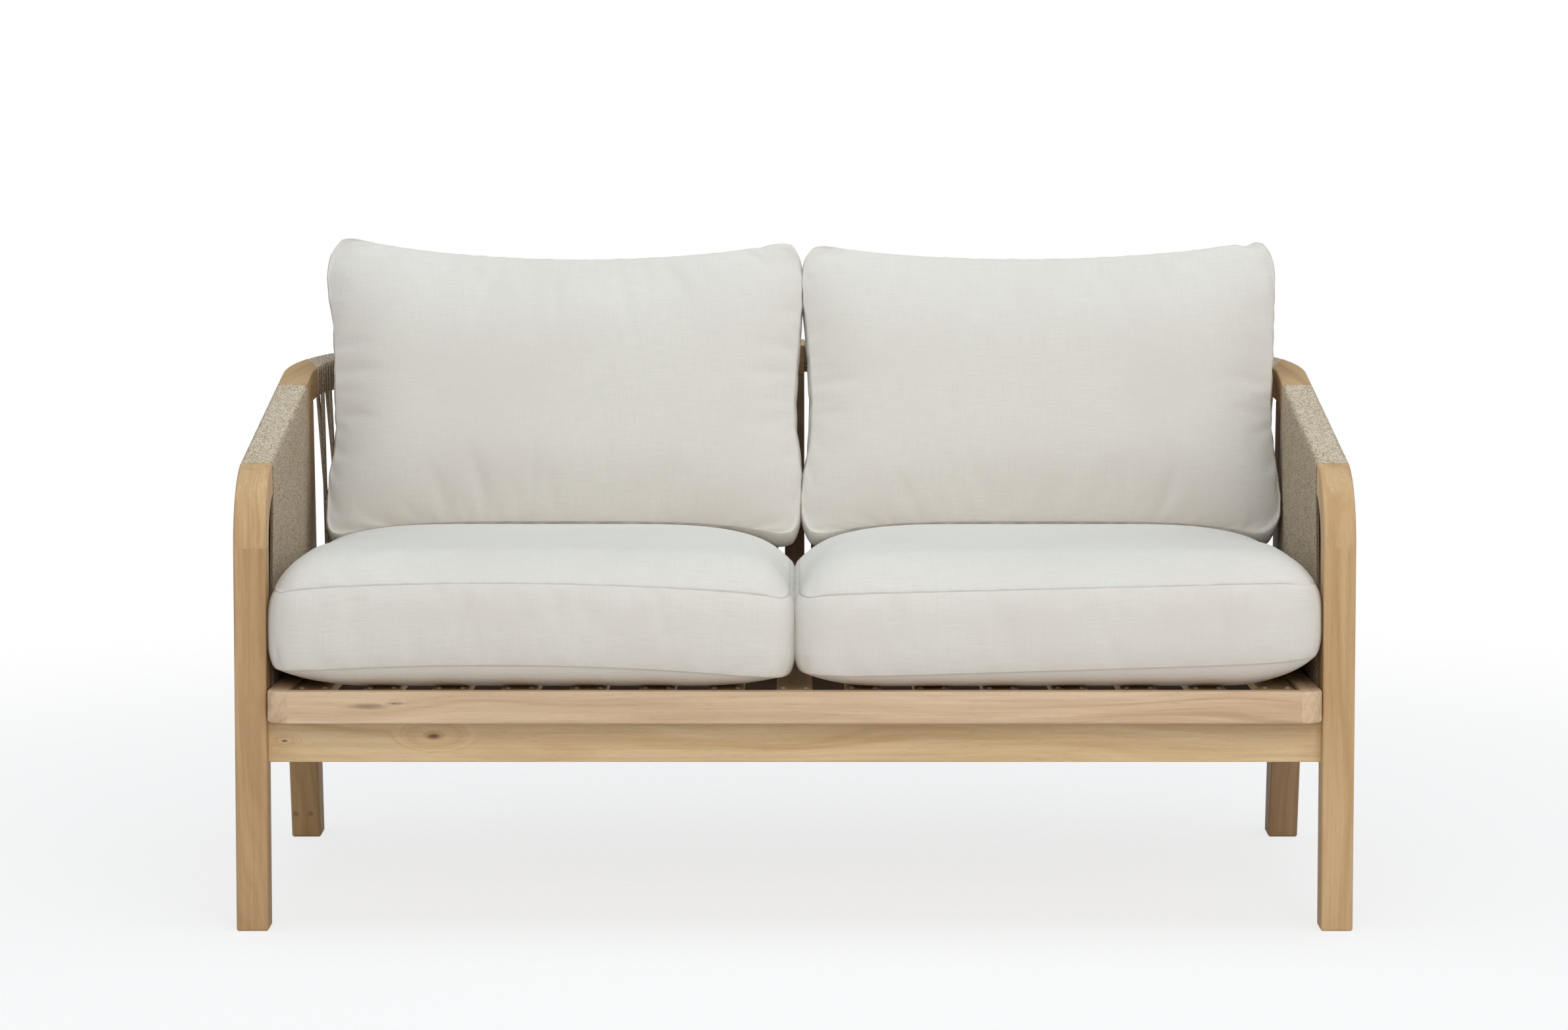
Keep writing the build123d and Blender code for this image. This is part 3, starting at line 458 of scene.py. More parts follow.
def screw_heads(around=10):
    """Domes on the slats: each ring is (cos, sin) of an angle times its radius, at its own height."""
    slats = np.arange(slat_count) - slat_count // 2
    middles = slats[:, None] * slat_pitch + np.array([-0.5, 0.5]) * screw_pitch
    spot_x, spot_along = np.meshgrid(middles.ravel(), screw_rows)
    turn = np.arange(around) * 2 * pi / around
    radius, height = head_rings[:, 0, None], head_rings[:, 1, None] + np.zeros(around)
    x = spot_x.reshape(-1, 1, 1) + radius * np.cos(turn)
    along = spot_along.reshape(-1, 1, 1) - radius * np.sin(turn)
    points = on_seat(x, along, height - slats_under)
    head = tube_faces(len(head_rings), around)
    head_size = len(head_rings) * around
    starts = range(0, spot_x.size * head_size, head_size)
    faces = [[corner + start for corner in face[::-1]] for start in starts for face in head]
    mesh = surface("slat_screw_heads", points.reshape(-1, 3), faces, steel_finish, False)
    heads = put("slat_screw_heads", mesh)
    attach(heads, "frame")
    print(spot_x.size, "screw heads")


screw_heads()

# %% [markdown]
# ## Rope
# The rope is a braid, 5 mm thick, of cream and brown yarns, and from a step away it looks speckled.
# It is laid turn against turn, which flattens it a little. A single noise would speckle it, but a
# braid has order: its yarns cross in small diamonds that follow the rope. So the pattern is worked
# out along and around the rope, from its own UV map, where u is the length and v goes once round.


# %% The rope's formula
def rope_material():
    """Braid of mixed yarns: diamonds where the strands cross, each diamond with a shade of its own."""
    finish = Finish("braided_rope", 0.86)
    length, around = finish.own_map()
    wobble = finish.noise(finish.places(), 600.0, 2.0)
    along_yarns, around_yarns = length * 560.0, around * 13.0
    first = along_yarns + around_yarns + wobble * 1.2
    second = along_yarns - around_yarns + wobble * 1.2
    cells = finish.vector(first.maths("FLOOR", first), second.maths("FLOOR", second))
    shade = finish.node("ShaderNodeTexWhiteNoise", {"noise_dimensions": "2D"}, cells)
    fuzz = finish.noise(finish.places(), 1500.0, 3.0, 0.6)
    patch = finish.noise(finish.places(), 60.0, 2.0)
    shade = shade * 0.66 + fuzz * 0.46 + patch * 0.14 - 0.14
    colour = finish.mix(shade.ramp(0.30, 0.60), linear(232, 220, 199), linear(206, 186, 156))
    colour = finish.mix(shade.ramp(0.60, 0.78), colour, linear(162, 137, 108))
    colour = finish.mix(shade.ramp(0.80, 0.92) * 0.65, colour, linear(104, 84, 66))
    # strands that hang free get painted shade: a browner tone than the turns on the rails, and darker gaps
    # between them
    hanging = finish.node("ShaderNodeAttribute", {"attribute_name": "hanging"}, out=2)
    colour = finish.mix(hanging * 0.36, colour, linear(120, 96, 68))
    # the turns touch at the rope's two wide sides, where less light gets in
    side = (around * (2 * pi) + pi / 2).wave().size()
    colour = finish.mix(side.ramp(0.45, 0.97) * (hanging * 0.42 + 0.22), colour, linear(62, 48, 34))
    weave = (first * pi).wave().size() * (second * pi).wave().size()
    return finish.paint(colour, 0.86, weave * 0.8 + fuzz * 0.4, bump=0.0006, strength=0.8)


rope_finish = rope_material()

# %% [markdown]
# ## From a path to a rope
# A turn of rope is a path with a thickness. `rope_mesh` takes the path's points as one array and lays
# a ring of points round each: two directions square to the path are found by cross products for all
# points at once, and the ring is their cosine and sine mix. The rope is oval, wide along the timber
# and thin away from it, because the turns press on each other.


# %% Rope along a path
def rope_mesh(name, path, lie, half_wide, half_thick, sides=8):
    """A tube round a path: at each point a ring, cos(angle) x wide along lie + sin(angle) x thick."""
    ahead = np.gradient(path, axis=0)
    ahead /= np.linalg.norm(ahead, axis=1)[:, None]
    wide_way = lie - ahead * np.sum(lie * ahead, axis=1)[:, None]
    wide_way /= np.linalg.norm(wide_way, axis=1)[:, None]
    thick_way = np.cross(ahead, wide_way)
    angles = np.arange(sides) * 2 * pi / sides
    ring = (
        np.cos(angles)[:, None] * wide_way[:, None] * np.reshape(half_wide, (-1, 1, 1))
        + np.sin(angles)[:, None] * thick_way[:, None] * half_thick
    )
    points = (path[:, None] + ring).reshape(-1, 3)
    mesh = surface(name, points, tube_faces(len(path), sides), rope_finish)
    travel = np.concatenate([[0], np.cumsum(np.linalg.norm(np.diff(path, axis=0), axis=1))])
    row, col = np.meshgrid(np.arange(len(path) - 1), np.arange(sides), indexing="ij")
    u = np.stack([travel[row], travel[row], travel[row + 1], travel[row + 1]], -1)
    v = np.stack([col, col + 1, col + 1, col], -1) / sides
    uv = np.zeros((len(mesh.loops), 2))
    uv[: u.size] = np.stack([u, v], -1).reshape(-1, 2)
    mesh.uv_layers.new(name="along_and_around").data.foreach_set("uv", uv.ravel())
    # how steeply each strand hangs, which sets how much painted shade the rope gets there
    hanging = np.repeat(np.clip(np.abs(ahead[:, 2]) * 1.5 - 0.4, 0, 1), sides)
    mesh.attributes.new("hanging", "FLOAT", "POINT").data.foreach_set("value", hanging)
    rope = put(name, mesh)
    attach(rope, "frame")
    print(name, round(travel[-1], 1), "m of rope,", row.size * 2, "triangles")
    return rope


# %% [markdown]
# ## Arms
# On each arm one long rope runs over the arm rail, down one side, under the lower side rail and up
# the other, 78 times. The lower rail is longer than the arm, so the turns fan out on their way down.
# The rope moves on by one place each time that it passes under the lower rail, where nobody looks.
# One turn is a short list of corner points, and the whole rope is that list repeated by numpy.

# %% Rope of the arms
rope_thick = 0.0046
arm_turns = 78
foot_front, foot_back = 0.045, rope_end + 0.062
low_rail_foot, low_rail_high = 0.216, 0.046
ease = 0.0022  # how round a timber's edges are under the rope
bend_radius = ease + rope_thick / 2
quarter = np.linspace(0, -pi / 2, 5)  # a quarter turn round an edge, in five points
side_out = core_wide / 2 + rope_thick / 2
rail_bottom = -rebate - core_deep + 0.004


def edge_bend(x, height, start, shares, on_rail):
    """Rows for one rounded edge: its centre plus bend_radius x (cos, sin) of five angles."""
    angle = start + quarter
    out, up = x + bend_radius * np.cos(angle), height + bend_radius * np.sin(angle)
    return np.stack(np.broadcast_arrays(out, up, shares, on_rail), -1)


def turn_corners():
    """One turn seen from the front: each row is (x, height, share of the way to the next turn, on rail).

    Heights on the arm rail count from its top face and on the lower rail from its underside."""
    edge_x, edge_top = core_wide / 2 - ease, -rebate - ease
    return np.concatenate([
        edge_bend(-edge_x, edge_top, pi, 0, 1),
        edge_bend(edge_x, edge_top, pi / 2, 0, 1),
        [(side_out, rail_bottom, 0, 1), (side_out, low_rail_high * 0.9, 0, 0)],
        edge_bend(edge_x, ease, 0, (0, 0.02, 0.06, 0.12, 0.2), 0),
        edge_bend(-edge_x, ease, -pi / 2, (0.8, 0.88, 0.94, 0.98, 1), 0),
        [(-side_out, low_rail_high * 0.9, 1, 0), (-side_out, rail_bottom, 1, 1)],
    ])


def arm_rope(name, side):
    """Rope of one arm; side is 1 on the right and -1 on the left."""
    corners = turn_corners()
    turn = np.repeat(np.arange(arm_turns), len(corners))
    x, height, step, on_rail = np.tile(corners, (arm_turns, 1)).T
    share = (turn + 0.5 + (step - 0.5) * 0.98) / arm_turns
    shake = np.random.default_rng(7 + side)
    stray = shake.normal(0, 1, (arm_turns + 1, 4))
    upper = on_arm(side * (leg_middle + x), arm_length * share, height)
    foot_y = leg_face + foot_front + (foot_back - foot_front) * share
    lower = np.stack([side * (leg_middle + x), foot_y, low_rail_foot + height], -1)
    path = np.where(on_rail[:, None] == 1, upper, lower)
    # no turn lies quite straight, and at the foot they stray more
    turn_after = np.minimum(turn + (step > 0.5), arm_turns)
    stray = stray[turn_after]
    path[:, 1] += stray[:, 0] * 0.00012 + np.where(on_rail == 1, 0, stray[:, 1] * 0.0004)
    path[:, 0] += side * np.abs(stray[:, 2]) * 0.00012 * np.sign(x)
    fan_long = arm_length + (foot_back - foot_front - arm_length) * (1 - on_rail)
    half_wide = np.minimum(fan_long / arm_turns * 0.5, 0.0030)
    lie = np.broadcast_to(arm_along, path.shape)
    rope = rope_mesh(name + "_arm_rope", path, lie, half_wide, rope_thick / 2)
    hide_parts(name + "_arm_winding", name + "_arm_curtain")


for half in halves.items():
    arm_rope(*half)

# %% [markdown]
# ## Back
# The back has two ropes, one on each side of the post. Each is wound three times round the bowed rail,
# goes down in front to the lower rail, round that and up again behind, with every strand leaning a
# little to one side. Seen from the front, the front and rear strands cross in slim X shapes.
# A place on the bowed rail comes from a share of the way: first round the corner's arc, and then
# along the long bow. Both are circles in the arms' sloping plane.

# %% The bowed rail
corner_x = half_width - corner_radius
corner_start = arm_length + block_straight
bow_radius = corner_x / cos(corner_turn) + corner_radius
bow_centre = corner_start + (corner_radius - bow_radius) * sin(corner_turn)
bow_middle = bow_radius - timber_wide / 2
post_wide = 0.027
turn_long = (corner_radius - timber_wide / 2) * (corner_turn - block_turn)
bow_long = bow_middle * (np.arccos(post_wide / 2 / bow_middle) - corner_turn)
rail_rounds, strand_pitch = 3, 0.0165
back_turns = round((turn_long + bow_long) / strand_pitch)
low_back = np.array([0, leg_face + rope_end + 0.095, 0.325])
low_start = half_width - timber_wide - 0.0045


def rail_station(share):
    """Place on the rail's middle line, direction across it, and the hub and radius of its circle."""
    travel = np.clip(share, 0, 1) * (turn_long + bow_long)
    turned = np.clip(travel / turn_long, 0, 1)
    past = np.maximum(travel - turn_long, 0) / bow_middle
    on_bow = travel > turn_long
    turn = np.where(on_bow, corner_turn + past, block_turn + (corner_turn - block_turn) * turned)
    way = np.where(on_bow, turn, block_cut + (corner_turn - block_cut) * turned)
    hub_x, hub_along = np.where(on_bow, 0, corner_x), np.where(on_bow, bow_centre, corner_start)
    radius = np.where(on_bow, bow_middle, corner_radius - timber_wide / 2)
    return hub_x + radius * np.cos(turn), hub_along + radius * np.sin(turn), way, hub_x, hub_along, radius


def rail_reach(share, offset):
    """Distance across the rail, in the direction of a turn, to the line an offset outside its middle."""
    x, along, way, hub_x, hub_along, radius = rail_station(share)
    dot = (x - hub_x) * np.cos(way) + (along - hub_along) * np.sin(way)
    gap = dot**2 - (x - hub_x) ** 2 - (along - hub_along) ** 2 + (radius + offset) ** 2
    return np.sqrt(np.maximum(gap, 0)) - dot


corner_points = 3
round_points = 4 * corner_points


def around_section(half_out, half_up, first, count):
    """Points round a rectangle's corners, up behind, over the top and down in front.

    Corners count from the rear bottom one. Each gives three points: where the rope meets it, its middle
    and where the rope leaves it. Rows are (outwards, up); outwards is towards the rear."""
    corner = first + np.repeat(np.arange(count), corner_points)
    middle = -pi / 4 + corner * pi / 2
    angle = middle + np.tile([-pi / 4, 0, pi / 4], count)
    out = np.sign(np.cos(middle)) * (half_out - ease) + bend_radius * np.cos(angle)
    up = np.sign(np.sin(middle)) * (half_up - ease) + bend_radius * np.sin(angle)
    return np.stack([out, up], -1)


def back_rope(name, side):
    """Rope of one half of the back."""
    # on the rail the rope comes up behind and leaves in front, so both ends skip the rest of a corner
    skipped = corner_points - 1
    rail = around_section(core_wide / 2, core_deep / 2, 0, 4 * rail_rounds)[skipped:-skipped]
    low_first = 3
    low = around_section(core_wide / 2, core_wide / 2, low_first, 6)
    # which round of the rail or the lower rail each point is on: the rope moves on underneath
    rail_round = (np.arange(len(rail)) + skipped) // round_points
    low_round = np.minimum((np.arange(len(low)) + low_first * corner_points) // round_points, 1)
    cell = np.arange(back_turns)[:, None]
    shake = np.random.default_rng(21 + side)
    rail_share = (cell + (rail_round + 0.5) / rail_rounds) / back_turns
    x, along, way, *_ = rail_station(rail_share)
    out = np.sign(rail[:, 0]) * np.abs(rail_reach(rail_share, rail[:, 0]))
    stray = shake.normal(0, 0.0002, (back_turns, 1))
    rail_x, rail_along = side * (x + out * np.cos(way)), along + out * np.sin(way) + stray
    tops = on_arm(rail_x, rail_along, -timber_deep / 2 + rail[:, 1])
    # the feet run ahead of the rail, so that the strands lean
    low_share = (cell + 1.12 + 0.36 * low_round) / back_turns
    foot_x = low_start + (post_wide / 2 - low_start) * np.clip(low_share, 0, 1)
    foot_x = foot_x + shake.normal(0, 0.0016, (back_turns, 1))
    beside_post = post_wide / 2 + 0.011
    foot_x = np.maximum(foot_x, beside_post)
    foot_y, foot_z = low_back[1] + low[:, 0], low_back[2] + low[:, 1]
    feet = np.stack(np.broadcast_arrays(side * foot_x, foot_y, foot_z), -1)
    # the last round ends on the rail, beside the post
    path = np.concatenate([tops, feet], axis=1).reshape(-1, 3)[: -len(low)]
    lie = np.broadcast_to(across, path.shape)
    turn_half_wide = 0.0028
    rope = rope_mesh(name + "_back_rope_winding", path, lie, turn_half_wide, rope_thick / 2)
    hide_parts(name + "_back_rope")


for half in halves.items():
    back_rope(*half)

# %% [markdown]
# ## Cloth
# The covers are a plain weave of off-white polyester with slightly uneven threads. The weave follows
# the cloth, so it reads each cover's UV map, which is laid out in metres. A seam shows as a fine dark
# line, and an attribute of the mesh gives the distance to it.


# %% The cloth's formula
def cloth_material():
    """Plain weave: threads both ways, each with its own thickness, and slubs here and there."""
    finish = Finish("cover_cloth", 0.92)
    finish.set(finish.shader, "Sheen Weight", 0.12)
    finish.set(finish.shader, "Sheen Roughness", 0.5)
    u, v = finish.own_map()
    threads = 2 * pi * 1100
    warp = (u * threads).wave() * 0.5 + 0.5
    weft = (v * threads).wave() * 0.5 + 0.5
    slub_across = finish.noise(finish.vector(u * 28.0, v * 900.0), 1.0, 2.0, 0.6)
    slub_down = finish.noise(finish.vector(u * 900.0, v * 28.0), 1.0, 2.0, 0.6)
    slubs = slub_across * 0.6 + slub_down * 0.4
    patch = finish.noise(finish.places(), 7.0, 2.0)
    seam = finish.node("ShaderNodeAttribute", {"attribute_name": "to_seam"}, out=2)
    line = 1 - seam.ramp(0.0004, 0.0016)
    # painted shade in a band 5 mm wide along each seam, where the cloth dips; the fine dark line is the
    # seam itself
    shade = 1 - seam.ramp(0.0, 0.005)
    colour = finish.mix(slubs.ramp(0.35, 0.70), linear(221, 216, 208), linear(212, 207, 198))
    colour = finish.mix(patch.ramp(0.35, 0.7) * 0.5, colour, linear(214, 207, 199))
    colour = finish.mix(shade * 0.08, colour, linear(150, 140, 128))
    colour = finish.mix(line * 0.34, colour, linear(140, 124, 112))
    height = warp * weft * 0.5 + slubs * 0.6
    return finish.paint(colour, 0.88 + slubs * 0.08, height, bump=0.00025, strength=0.30)


cloth_finish = cloth_material()

# %% [markdown]
# ## A cushion's pattern
# A box cushion is sewn from two panels and a strip. Here each is a grid: the panels are squares from
# -1 to 1 both ways, laid out tighter near their edges, and the strip goes round them. A square
# becomes a panel by formulas: how far in from the edge a point is says how high the filling lifts
# it, and near the seams the cloth dips and puckers. The shared edge points are the same in both
# grids, so the cover is closed.


# %% Grids of a cushion
def spread(count, near=(0.0, 0.0022, 0.006, 0.012, 0.021)):
    """Shares from -1 to 1, even in the middle and with a few closer rows at each end."""
    inner = np.linspace(-1 + near[-1] * 3, 1 - near[-1] * 3, count)
    first = -1 + np.array(near) * 2
    return np.concatenate([first, inner, -first[::-1]])


def cushion_grids(count_a, count_b, count_strip):
    """Panel shares (a, b), the panel's faces, the edge's round walk, and shares across the strip."""
    a, b = spread(count_a), spread(count_b)
    grid_a, grid_b = np.meshgrid(a, b, indexing="ij")
    rows, cols = grid_a.shape
    number = np.arange(rows * cols).reshape(rows, cols)
    faces = np.stack([number[:-1, :-1], number[1:, :-1], number[1:, 1:], number[:-1, 1:]], -1)
    faces = faces.reshape(-1, 4)
    walk = np.concatenate([number[:-1, 0], number[-1, :-1], number[:0:-1, -1], number[0, :0:-1]])
    strip = np.concatenate([[0.0, 0.02, 0.055], np.linspace(0.11, 0.89, count_strip), [0.945, 0.98, 1.0]])
    return grid_a.ravel(), grid_b.ravel(), faces, walk, strip


def rise(gap, reach, power=3.6):
    """Lift of the filling at a distance in from an edge: steep at first and level after the reach."""
    return 1 - (1 - np.clip(gap / reach, 0, 1)) ** power


def bell(x, middle, width):
    """A smooth bump of height 1 round a middle."""
    return np.exp(-(((x - middle) / width) ** 2))


def outwards(a, b):
    """Direction square to the edge in the panel, which turns round at the corners; length 1."""
    away = np.stack([np.abs(a) ** 30 * np.sign(a), np.abs(b) ** 21 * np.sign(b)], -1)
    return away / np.maximum(np.linalg.norm(away, axis=1), 1e-6)[:, None]


def folds(places, seed, count, low, high, width):
    """Sum of soft notches at random places along a seam."""
    shake = np.random.default_rng(seed)
    total = np.zeros_like(places)
    middles, depths = shake.uniform(low, high, count), shake.uniform(0.3, 1.0, count)
    for middle, depth, wide in zip(middles, depths, shake.uniform(0.6, 1.5, count) * width):
        total += depth * bell(places, middle, wide)
    return total


clear_of_seam = 0.02


def sew(body, panel_low, panel_high, strip, faces, walk, seam_low, seam_high, panel_uv):
    """Welds two panels and the strip between them into one closed cover.

    Faces and walk are the numbers of a panel's corners and of its edge. Seams are distances to the
    nearest seam, for the cloth's dark line. In the UV map, both panels and the strip lie apart."""
    name = body + "_cover"
    count = len(panel_low)
    inner = strip[1:-1]
    ring = len(walk)
    points = np.concatenate([panel_low, panel_high, inner.reshape(-1, 3)])
    numbers = np.concatenate(
        [walk[None, :], 2 * count + np.arange(len(inner) * ring).reshape(-1, ring), (count + walk)[None, :]]
    )
    after = np.roll(numbers, -1, axis=1)
    band = np.stack([numbers[:-1], after[:-1], after[1:], numbers[1:]], -1).reshape(-1, 4)
    everything = np.concatenate([faces[:, ::-1], faces + count, band])
    mesh = surface(name, points, everything.tolist(), cloth_finish)
    low_uv, high_uv = (panel_uv[order].reshape(-1, 2) for order in (faces[:, ::-1], faces))
    around = np.linalg.norm(np.roll(panel_high[walk], -1, axis=0) - panel_high[walk], axis=1)
    travel = np.concatenate([[0], np.cumsum(around)])
    height = np.linspace(0, 1, len(strip)) * np.linalg.norm(strip[0, 0] - strip[-1, 0])
    row, col = np.meshgrid(np.arange(len(strip) - 1), np.arange(ring), indexing="ij")
    band_corners = [(col, row), (col + 1, row), (col + 1, row + 1), (col, row + 1)]
    band_uv = np.stack([np.stack([travel[c], height[r]], -1) for c, r in band_corners], 2).reshape(-1, 2)
    uv = np.concatenate([low_uv, high_uv + 1.7, band_uv + 4.3])
    mesh.uv_layers.new(name="cloth").data.foreach_set("uv", uv.ravel())
    seam = np.concatenate([seam_low, seam_high, np.full(len(inner) * ring, clear_of_seam)])
    mesh.attributes.new("to_seam", "FLOAT", "POINT").data.foreach_set("value", seam)
    cover = put(name, mesh)
    smooth = cover.modifiers.new("smooth", "SUBSURF")
    smooth.levels = smooth.render_levels = 1
    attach(cover, body)
    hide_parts(body + "_cushion")
    print(name, len(everything), "faces")
    return cover


# %% [markdown]
# ## Swelling
# A sewn cover only looks filled once air pushes from within. Blender's cloth does that: the cover is
# cut a little larger than its form, its seams are held, and pressure swells it for twenty frames. The
# spare cloth gathers in small puckers along the seams. A cap keeps each point near where it was sewn,
# so the cushion still fits its place, and what rests on something stays where it is. The move is
# bent by a hyperbolic tangent, which leaves small moves alone and never passes the cap.


# %% Cloth simulation of a cover
on_seam = 0.0005  # nearer to an edge than this is the seam


def each_part(low, high, strip, edge, band):
    """One value for every point of a cover: both panels first, and then the strip's inner rows."""
    parts = (low, edge.size), (high, edge.size), (strip, band[1:-1].size // 3)
    return np.concatenate([np.broadcast_to(value, size) for value, size in parts])


def swell(cover, held, cap, spare):
    """Runs the cloth on a copy of the cover and takes its points over, each moved by at most the cap."""
    mesh = cover.data
    start = np.empty(len(mesh.vertices) * 3)
    mesh.vertices.foreach_get("co", start)
    start = start.reshape(-1, 3)
    work = put(cover.name + "_work", mesh.copy())
    group = work.vertex_groups.new(name="held")
    levels = np.round(held, 1)
    for level in np.unique(levels):
        group.add(np.flatnonzero(levels == level).tolist(), float(level), "REPLACE")
    settings = work.modifiers.new("cloth", "CLOTH").settings
    settings.quality, settings.mass = 5, 0.2
    settings.vertex_group_mass, settings.pin_stiffness = "held", 1.0
    settings.use_pressure, settings.uniform_pressure_force = True, 4.0
    settings.effector_weights.gravity = 0
    settings.shrink_min = -spare
    settings.bending_stiffness = 0.4
    last_frame = 20
    for number in range(1, last_frame + 1):
        scene.frame_set(number)
    swollen = np.empty(start.size)
    work.evaluated_get(bpy.context.evaluated_depsgraph_get()).data.vertices.foreach_get("co", swollen)
    move = swollen.reshape(-1, 3) - start
    length = np.linalg.norm(move, axis=1)[:, None]
    limit = cap[:, None]
    moved = start + move * limit * np.tanh(length / limit) / np.maximum(length, 1e-9)
    mesh.vertices.foreach_set("co", moved.ravel())
    mesh.update()
    bpy.data.objects.remove(work)
    scene.frame_set(1)
    print(cover.name, "moved by", round(float(length.mean() * 1000), 1), "mm on average")


# %% [markdown]
# ## Seat cushions
# Each is a firm box: a strip about 100 mm high, a crowned top and an underside that has sunk between
# the rails. In front the seams bow, because the filling lifts them, and the corners are round.


# %% Seat cushions
def seat_cushion(name, side):
    """Cushion of one half of the seat.

    The top's height is that of its seam plus the crown times the lift, which grows inwards from each
    edge. The underside comes down from its seam in the same way until it lies on the slats."""
    a, b, faces, walk, strip = cushion_grids(62, 54, 9)
    half_x, half_v = 0.3235, 0.286
    centre_x, centre_v = 0.329, 0.298
    seam_high, crown, seam_low, sunk = 0.129, 0.039, 0.0285, 0.0042
    # round corners: two edges give way by high powers, chosen so that they meet at 45 degrees; the
    # rear corners are rounder, so that the cushion lifts out past the corner blocks
    corner = np.where(b > 0, 0.027, 0.012)
    x = a * (half_x - corner * np.abs(b) ** np.where(b > 0, 10, 23))
    v = b * (half_v - corner * np.abs(a) ** np.where(b > 0, 11, 26))
    gap_x, gap_front, gap_back = half_x * (1 - np.abs(a)), half_v * (1 + b), half_v * (1 - b)
    if side < 0:
        bow, low_bow = 0.006 - 0.012 * (a - 0.15) ** 2, 0.004 - 0.0135 * (a - 0.165) ** 2
    else:
        bow, low_bow = 0.008 * a - 0.001, 0.010 * a - 0.003 + 0.003 * a**6
    bow, low_bow = (line * np.exp(-gap_front / 0.16) for line in (bow, low_bow))
    rear_share = np.clip((v + 0.12) / 0.30, 0, 1)
    side_lift = rise(gap_x, 0.110, 4.8) * (1 - rear_share) + rise(gap_x, 0.240, 3.7) * rear_share
    lift = side_lift * rise(gap_front, 0.105, 3.8) * rise(gap_back, 0.190)
    top = seam_high + bow * (1 - 0.7 * lift) - 0.004 * np.abs(a) ** 14 + crown * lift
    edge = np.minimum(gap_x, np.minimum(gap_front, gap_back))
    top = top - 0.0009 * (1 - rise(edge, 0.006, 2.0))
    # the back cushion's weight presses the filling down behind
    pressed, pressed_reach = 0.005, 0.095
    top = top - pressed * (1 - np.clip((gap_back - pressed_reach) / 0.030, 0, 1))
    # in front the filling hangs just clear of the rail, and farther back it lies on the slats
    under_front = 0.76 * rise(gap_front, 0.038, 2.6) + 0.24 * rise(gap_front - 0.046, 0.050, 2.0)
    under_lift = rise(gap_x, 0.120, 2.6) * under_front * rise(gap_back, 0.060, 2.6)
    bottom = (seam_low + low_bow + 0.001 * np.abs(a) ** 14) * (1 - under_lift) - sunk * under_lift
    panel_low = on_seat(side * (centre_x + x), centre_v + v, bottom)
    panel_high = on_seat(side * (centre_x + x), centre_v + v, top)
    share = strip[:, None]
    puff = 0.0085 * (1 - np.abs(2 * share - 1) ** 4)
    away = outwards(a[walk], b[walk])
    strip_x = centre_x + x[walk] + away[:, 0] * puff
    strip_v = centre_v + v[walk] + away[:, 1] * puff
    strip_h = bottom[walk] * (1 - share) + top[walk] * share
    band = on_seat(side * strip_x, strip_v, strip_h)
    if side < 0:
        # the left one is mirrored, so its faces are turned round
        faces, walk, band = faces[:, ::-1], walk[::-1], band[:, ::-1]
    uv = np.stack([x, v], -1)
    cover = sew(name + "_seat", panel_low, panel_high, band, faces, walk, edge, edge, uv)
    # the seams are held, and the underside stays on the slats
    held = each_part(1.0, edge < on_seam, 0.0, edge, band)
    swell(cover, held, each_part(0.0005, 0.003, 0.0015, edge, band), 0.02)


for half in halves.items():
    seat_cushion(*half)

# %% [markdown]
# ## Back cushions
# The back cushions are softer. Their top edges sag between the corners, their sides draw in, and the
# seams pull the cloth into small puckers. Each stands on a seat cushion and leans into the loop.

# %% Back cushions
back_lean = radians(16)
lean_up = np.array([0, sin(back_lean), cos(back_lean)])
lean_front = np.array([0, -cos(back_lean), sin(back_lean)])
gusset = 0.112
back_middle_y = leg_face + rope_end + 0.018
front_seam_y = back_middle_y - gusset / 2 * cos(back_lean)
crown_top = 0.3078 + (0.168 - (front_seam_y - seat_front[1]) * sin(seat_tilt)) / cos(seat_tilt)
back_foot = np.array([0, back_middle_y, crown_top + 0.0003 - gusset / 2 * sin(back_lean)])


def on_back(x, up, front):
    """Place in a back cushion: across, up its lean, and in front of its middle plane."""
    return on_plane(back_foot, lean_up, lean_front, x, up, front)


# the front panel's outline: where each side is, and how far in mm it stands off that at shares of the
# height; then the top edge's height, its sag and tilt, and where it has a notch of which depth
side_shares = np.array([0.0, 0.05, 0.12, 0.20, 0.28, 0.36, 0.45, 0.60, 0.72, 0.80, 0.88, 0.95, 1.0])
outlines = {
    "left": {
        "outer": (-0.632, [-3, -1, 0, 2, 8, 9, 7, 5, 2, -4, -7, -4, 4]),
        "inner": (0.0085, [-2, 0, 1, 2, -1, -6, -7, -3, 1, 3, 3, 1, -3]),
        "high": 0.3995, "top_sag": 0.032, "tilt": -0.0035, "notches": [(0.86, 0.0015)],
    },
    "right": {
        "inner": (0.0105, [2, -2, -3, 0, 7, 10, 11, 8, 4, 0, -2, 0, 4]),
        "outer": (0.6535, [-4, 3, 4, 1, -3, -6, -6, -2, 0, 2, 3, 1, -5]),
        "high": 0.3945, "top_sag": 0.0265, "tilt": 0.003, "notches": [(0.925, 0.0065)],
    },
}


def smooth_line(shares, values, where):
    """Values between the given shares, along a line without corners."""
    fine = np.linspace(0, 1, 201)
    line = np.interp(fine, shares, values)
    blur = np.exp(-np.linspace(-2, 2, 17) ** 2)
    padded_line = np.pad(line, 8, mode="edge")
    line = np.convolve(padded_line, blur / blur.sum(), mode="valid")
    return np.interp(where, fine, line)


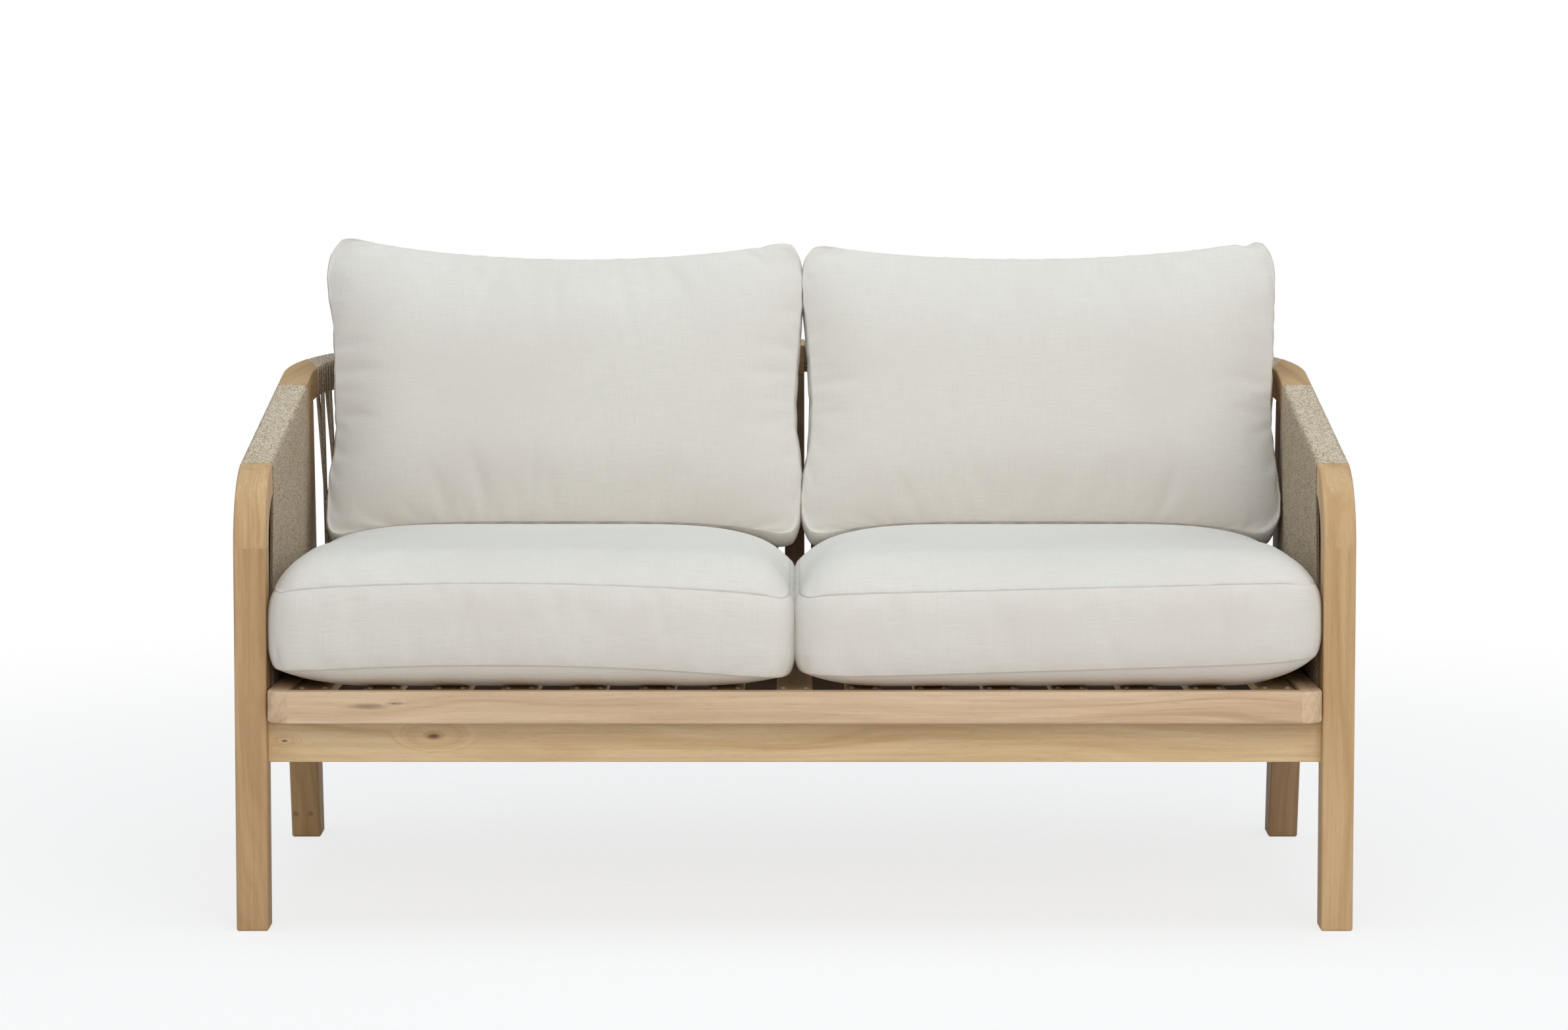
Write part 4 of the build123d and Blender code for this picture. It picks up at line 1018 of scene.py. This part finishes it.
def back_cushion(name, side):
    """Cushion of one half of the back.

    The front stands off its seams by the lift, which grows inwards from each edge, less the puckers."""
    a, b, faces, walk, strip = cushion_grids(78, 50, 9)
    shape = outlines[name]
    low_edge, high_edge = (shape["outer"], shape["inner"]) if side < 0 else (shape["inner"], shape["outer"])
    up_share = (b + 1) / 2
    corner = 0.0085

    def panel(inset, squeeze):
        """A panel's places and its gaps to the edges; squeeze says how much of the outline it has."""
        left, right = (
            start + smooth_line(side_shares, np.array(line) * 0.001, up_share) * squeeze
            for start, line in (low_edge, high_edge)
        )
        left, right = left + inset, right - inset
        middle, half = (left + right) / 2, (right - left) / 2
        x = middle + a * (half - corner * np.abs(b) ** 21)
        sag = shape["top_sag"] * (1 - a**2) ** 0.75 - shape["tilt"] * a
        top_edge = shape["high"] - sag - inset
        for place, depth in shape["notches"]:
            top_edge = top_edge - depth * bell(a, place, 0.022)
        bottom_edge = inset + 0.0005 - 0.021 * np.abs(a) ** 4
        centre, half_up = (top_edge + bottom_edge) / 2, (top_edge - bottom_edge) / 2
        up = centre + b * (half_up - corner * np.abs(a) ** 36)
        gap_x = half * (1 - np.abs(a))
        gap_top, gap_low = half_up * (1 - b), half_up * (1 + b)
        return x, up, gap_x, gap_top, gap_low

    x, up, gap_x, gap_top, gap_low = panel(0.002, 1.0)
    edge = np.minimum(gap_x, np.minimum(gap_top, gap_low))
    lift = rise(gap_x, 0.130, 2.8) * rise(gap_top, 0.120, 2.8) * rise(gap_low, 0.120, 3.0)
    pucker = folds(a, 31 + side, 11, -0.95, 0.95, 0.017) * np.exp(-gap_low / 0.024)
    pucker += folds(a, 41 + side, 5, -0.9, 0.9, 0.02) * np.exp(-gap_top / 0.026) * 0.6
    pucker += folds(b, 51 + side, 7, -0.9, 0.9, 0.035) * np.exp(-gap_x / 0.034)
    dip = 0.0010 * np.exp(-edge / 0.004)
    front = gusset / 2 + 0.024 * lift - 0.0030 * pucker * (1 - np.exp(-edge / 0.006)) - dip
    panel_high = on_back(x, up, front)
    xr, upr, gap_xr, gap_topr, gap_lowr = panel(0.020, 0.4)
    lift_r = rise(gap_xr, 0.120) * rise(gap_topr, 0.120) * rise(gap_lowr, 0.120)
    panel_low = on_back(xr, upr, -gusset / 2 - 0.021 * lift_r)
    share = strip[:, None]
    away = outwards(a[walk], b[walk])
    under = np.clip(-b[walk], 0, 1) ** 8
    puff = (0.007 + 0.004 * under) * np.sin(pi * share) ** 0.7
    droop = 0.009 * under * np.abs(a[walk]) ** 6

    def between(rear, fore):
        """Straight across the strip, from the rear seam to the front one."""
        return rear[walk] * (1 - share) + fore[walk] * share

    band = on_back(
        between(xr, x) + away[:, 0] * puff,
        between(upr, up) + away[:, 1] * puff - droop * np.sin(pi * share),
        -gusset / 2 * (1 - share) + front[walk] * share,
    )
    # the dark line is strongest at the bottom, and the rear seams have none
    front_line = np.minimum(gap_low, np.minimum(gap_x + 0.0006, gap_top + 0.0011))
    seams, uv = (clear_of_seam + edge, front_line), np.stack([x, up], -1)
    cover = sew(name + "_back", panel_low, panel_high, band, faces, walk, *seams, uv)
    seam = (edge < on_seam) * 0.9
    swell(cover, each_part(seam, seam, 0.0, edge, band), each_part(0.006, 0.010, 0.002, edge, band), 0.013)


for half in halves.items():
    back_cushion(*half)
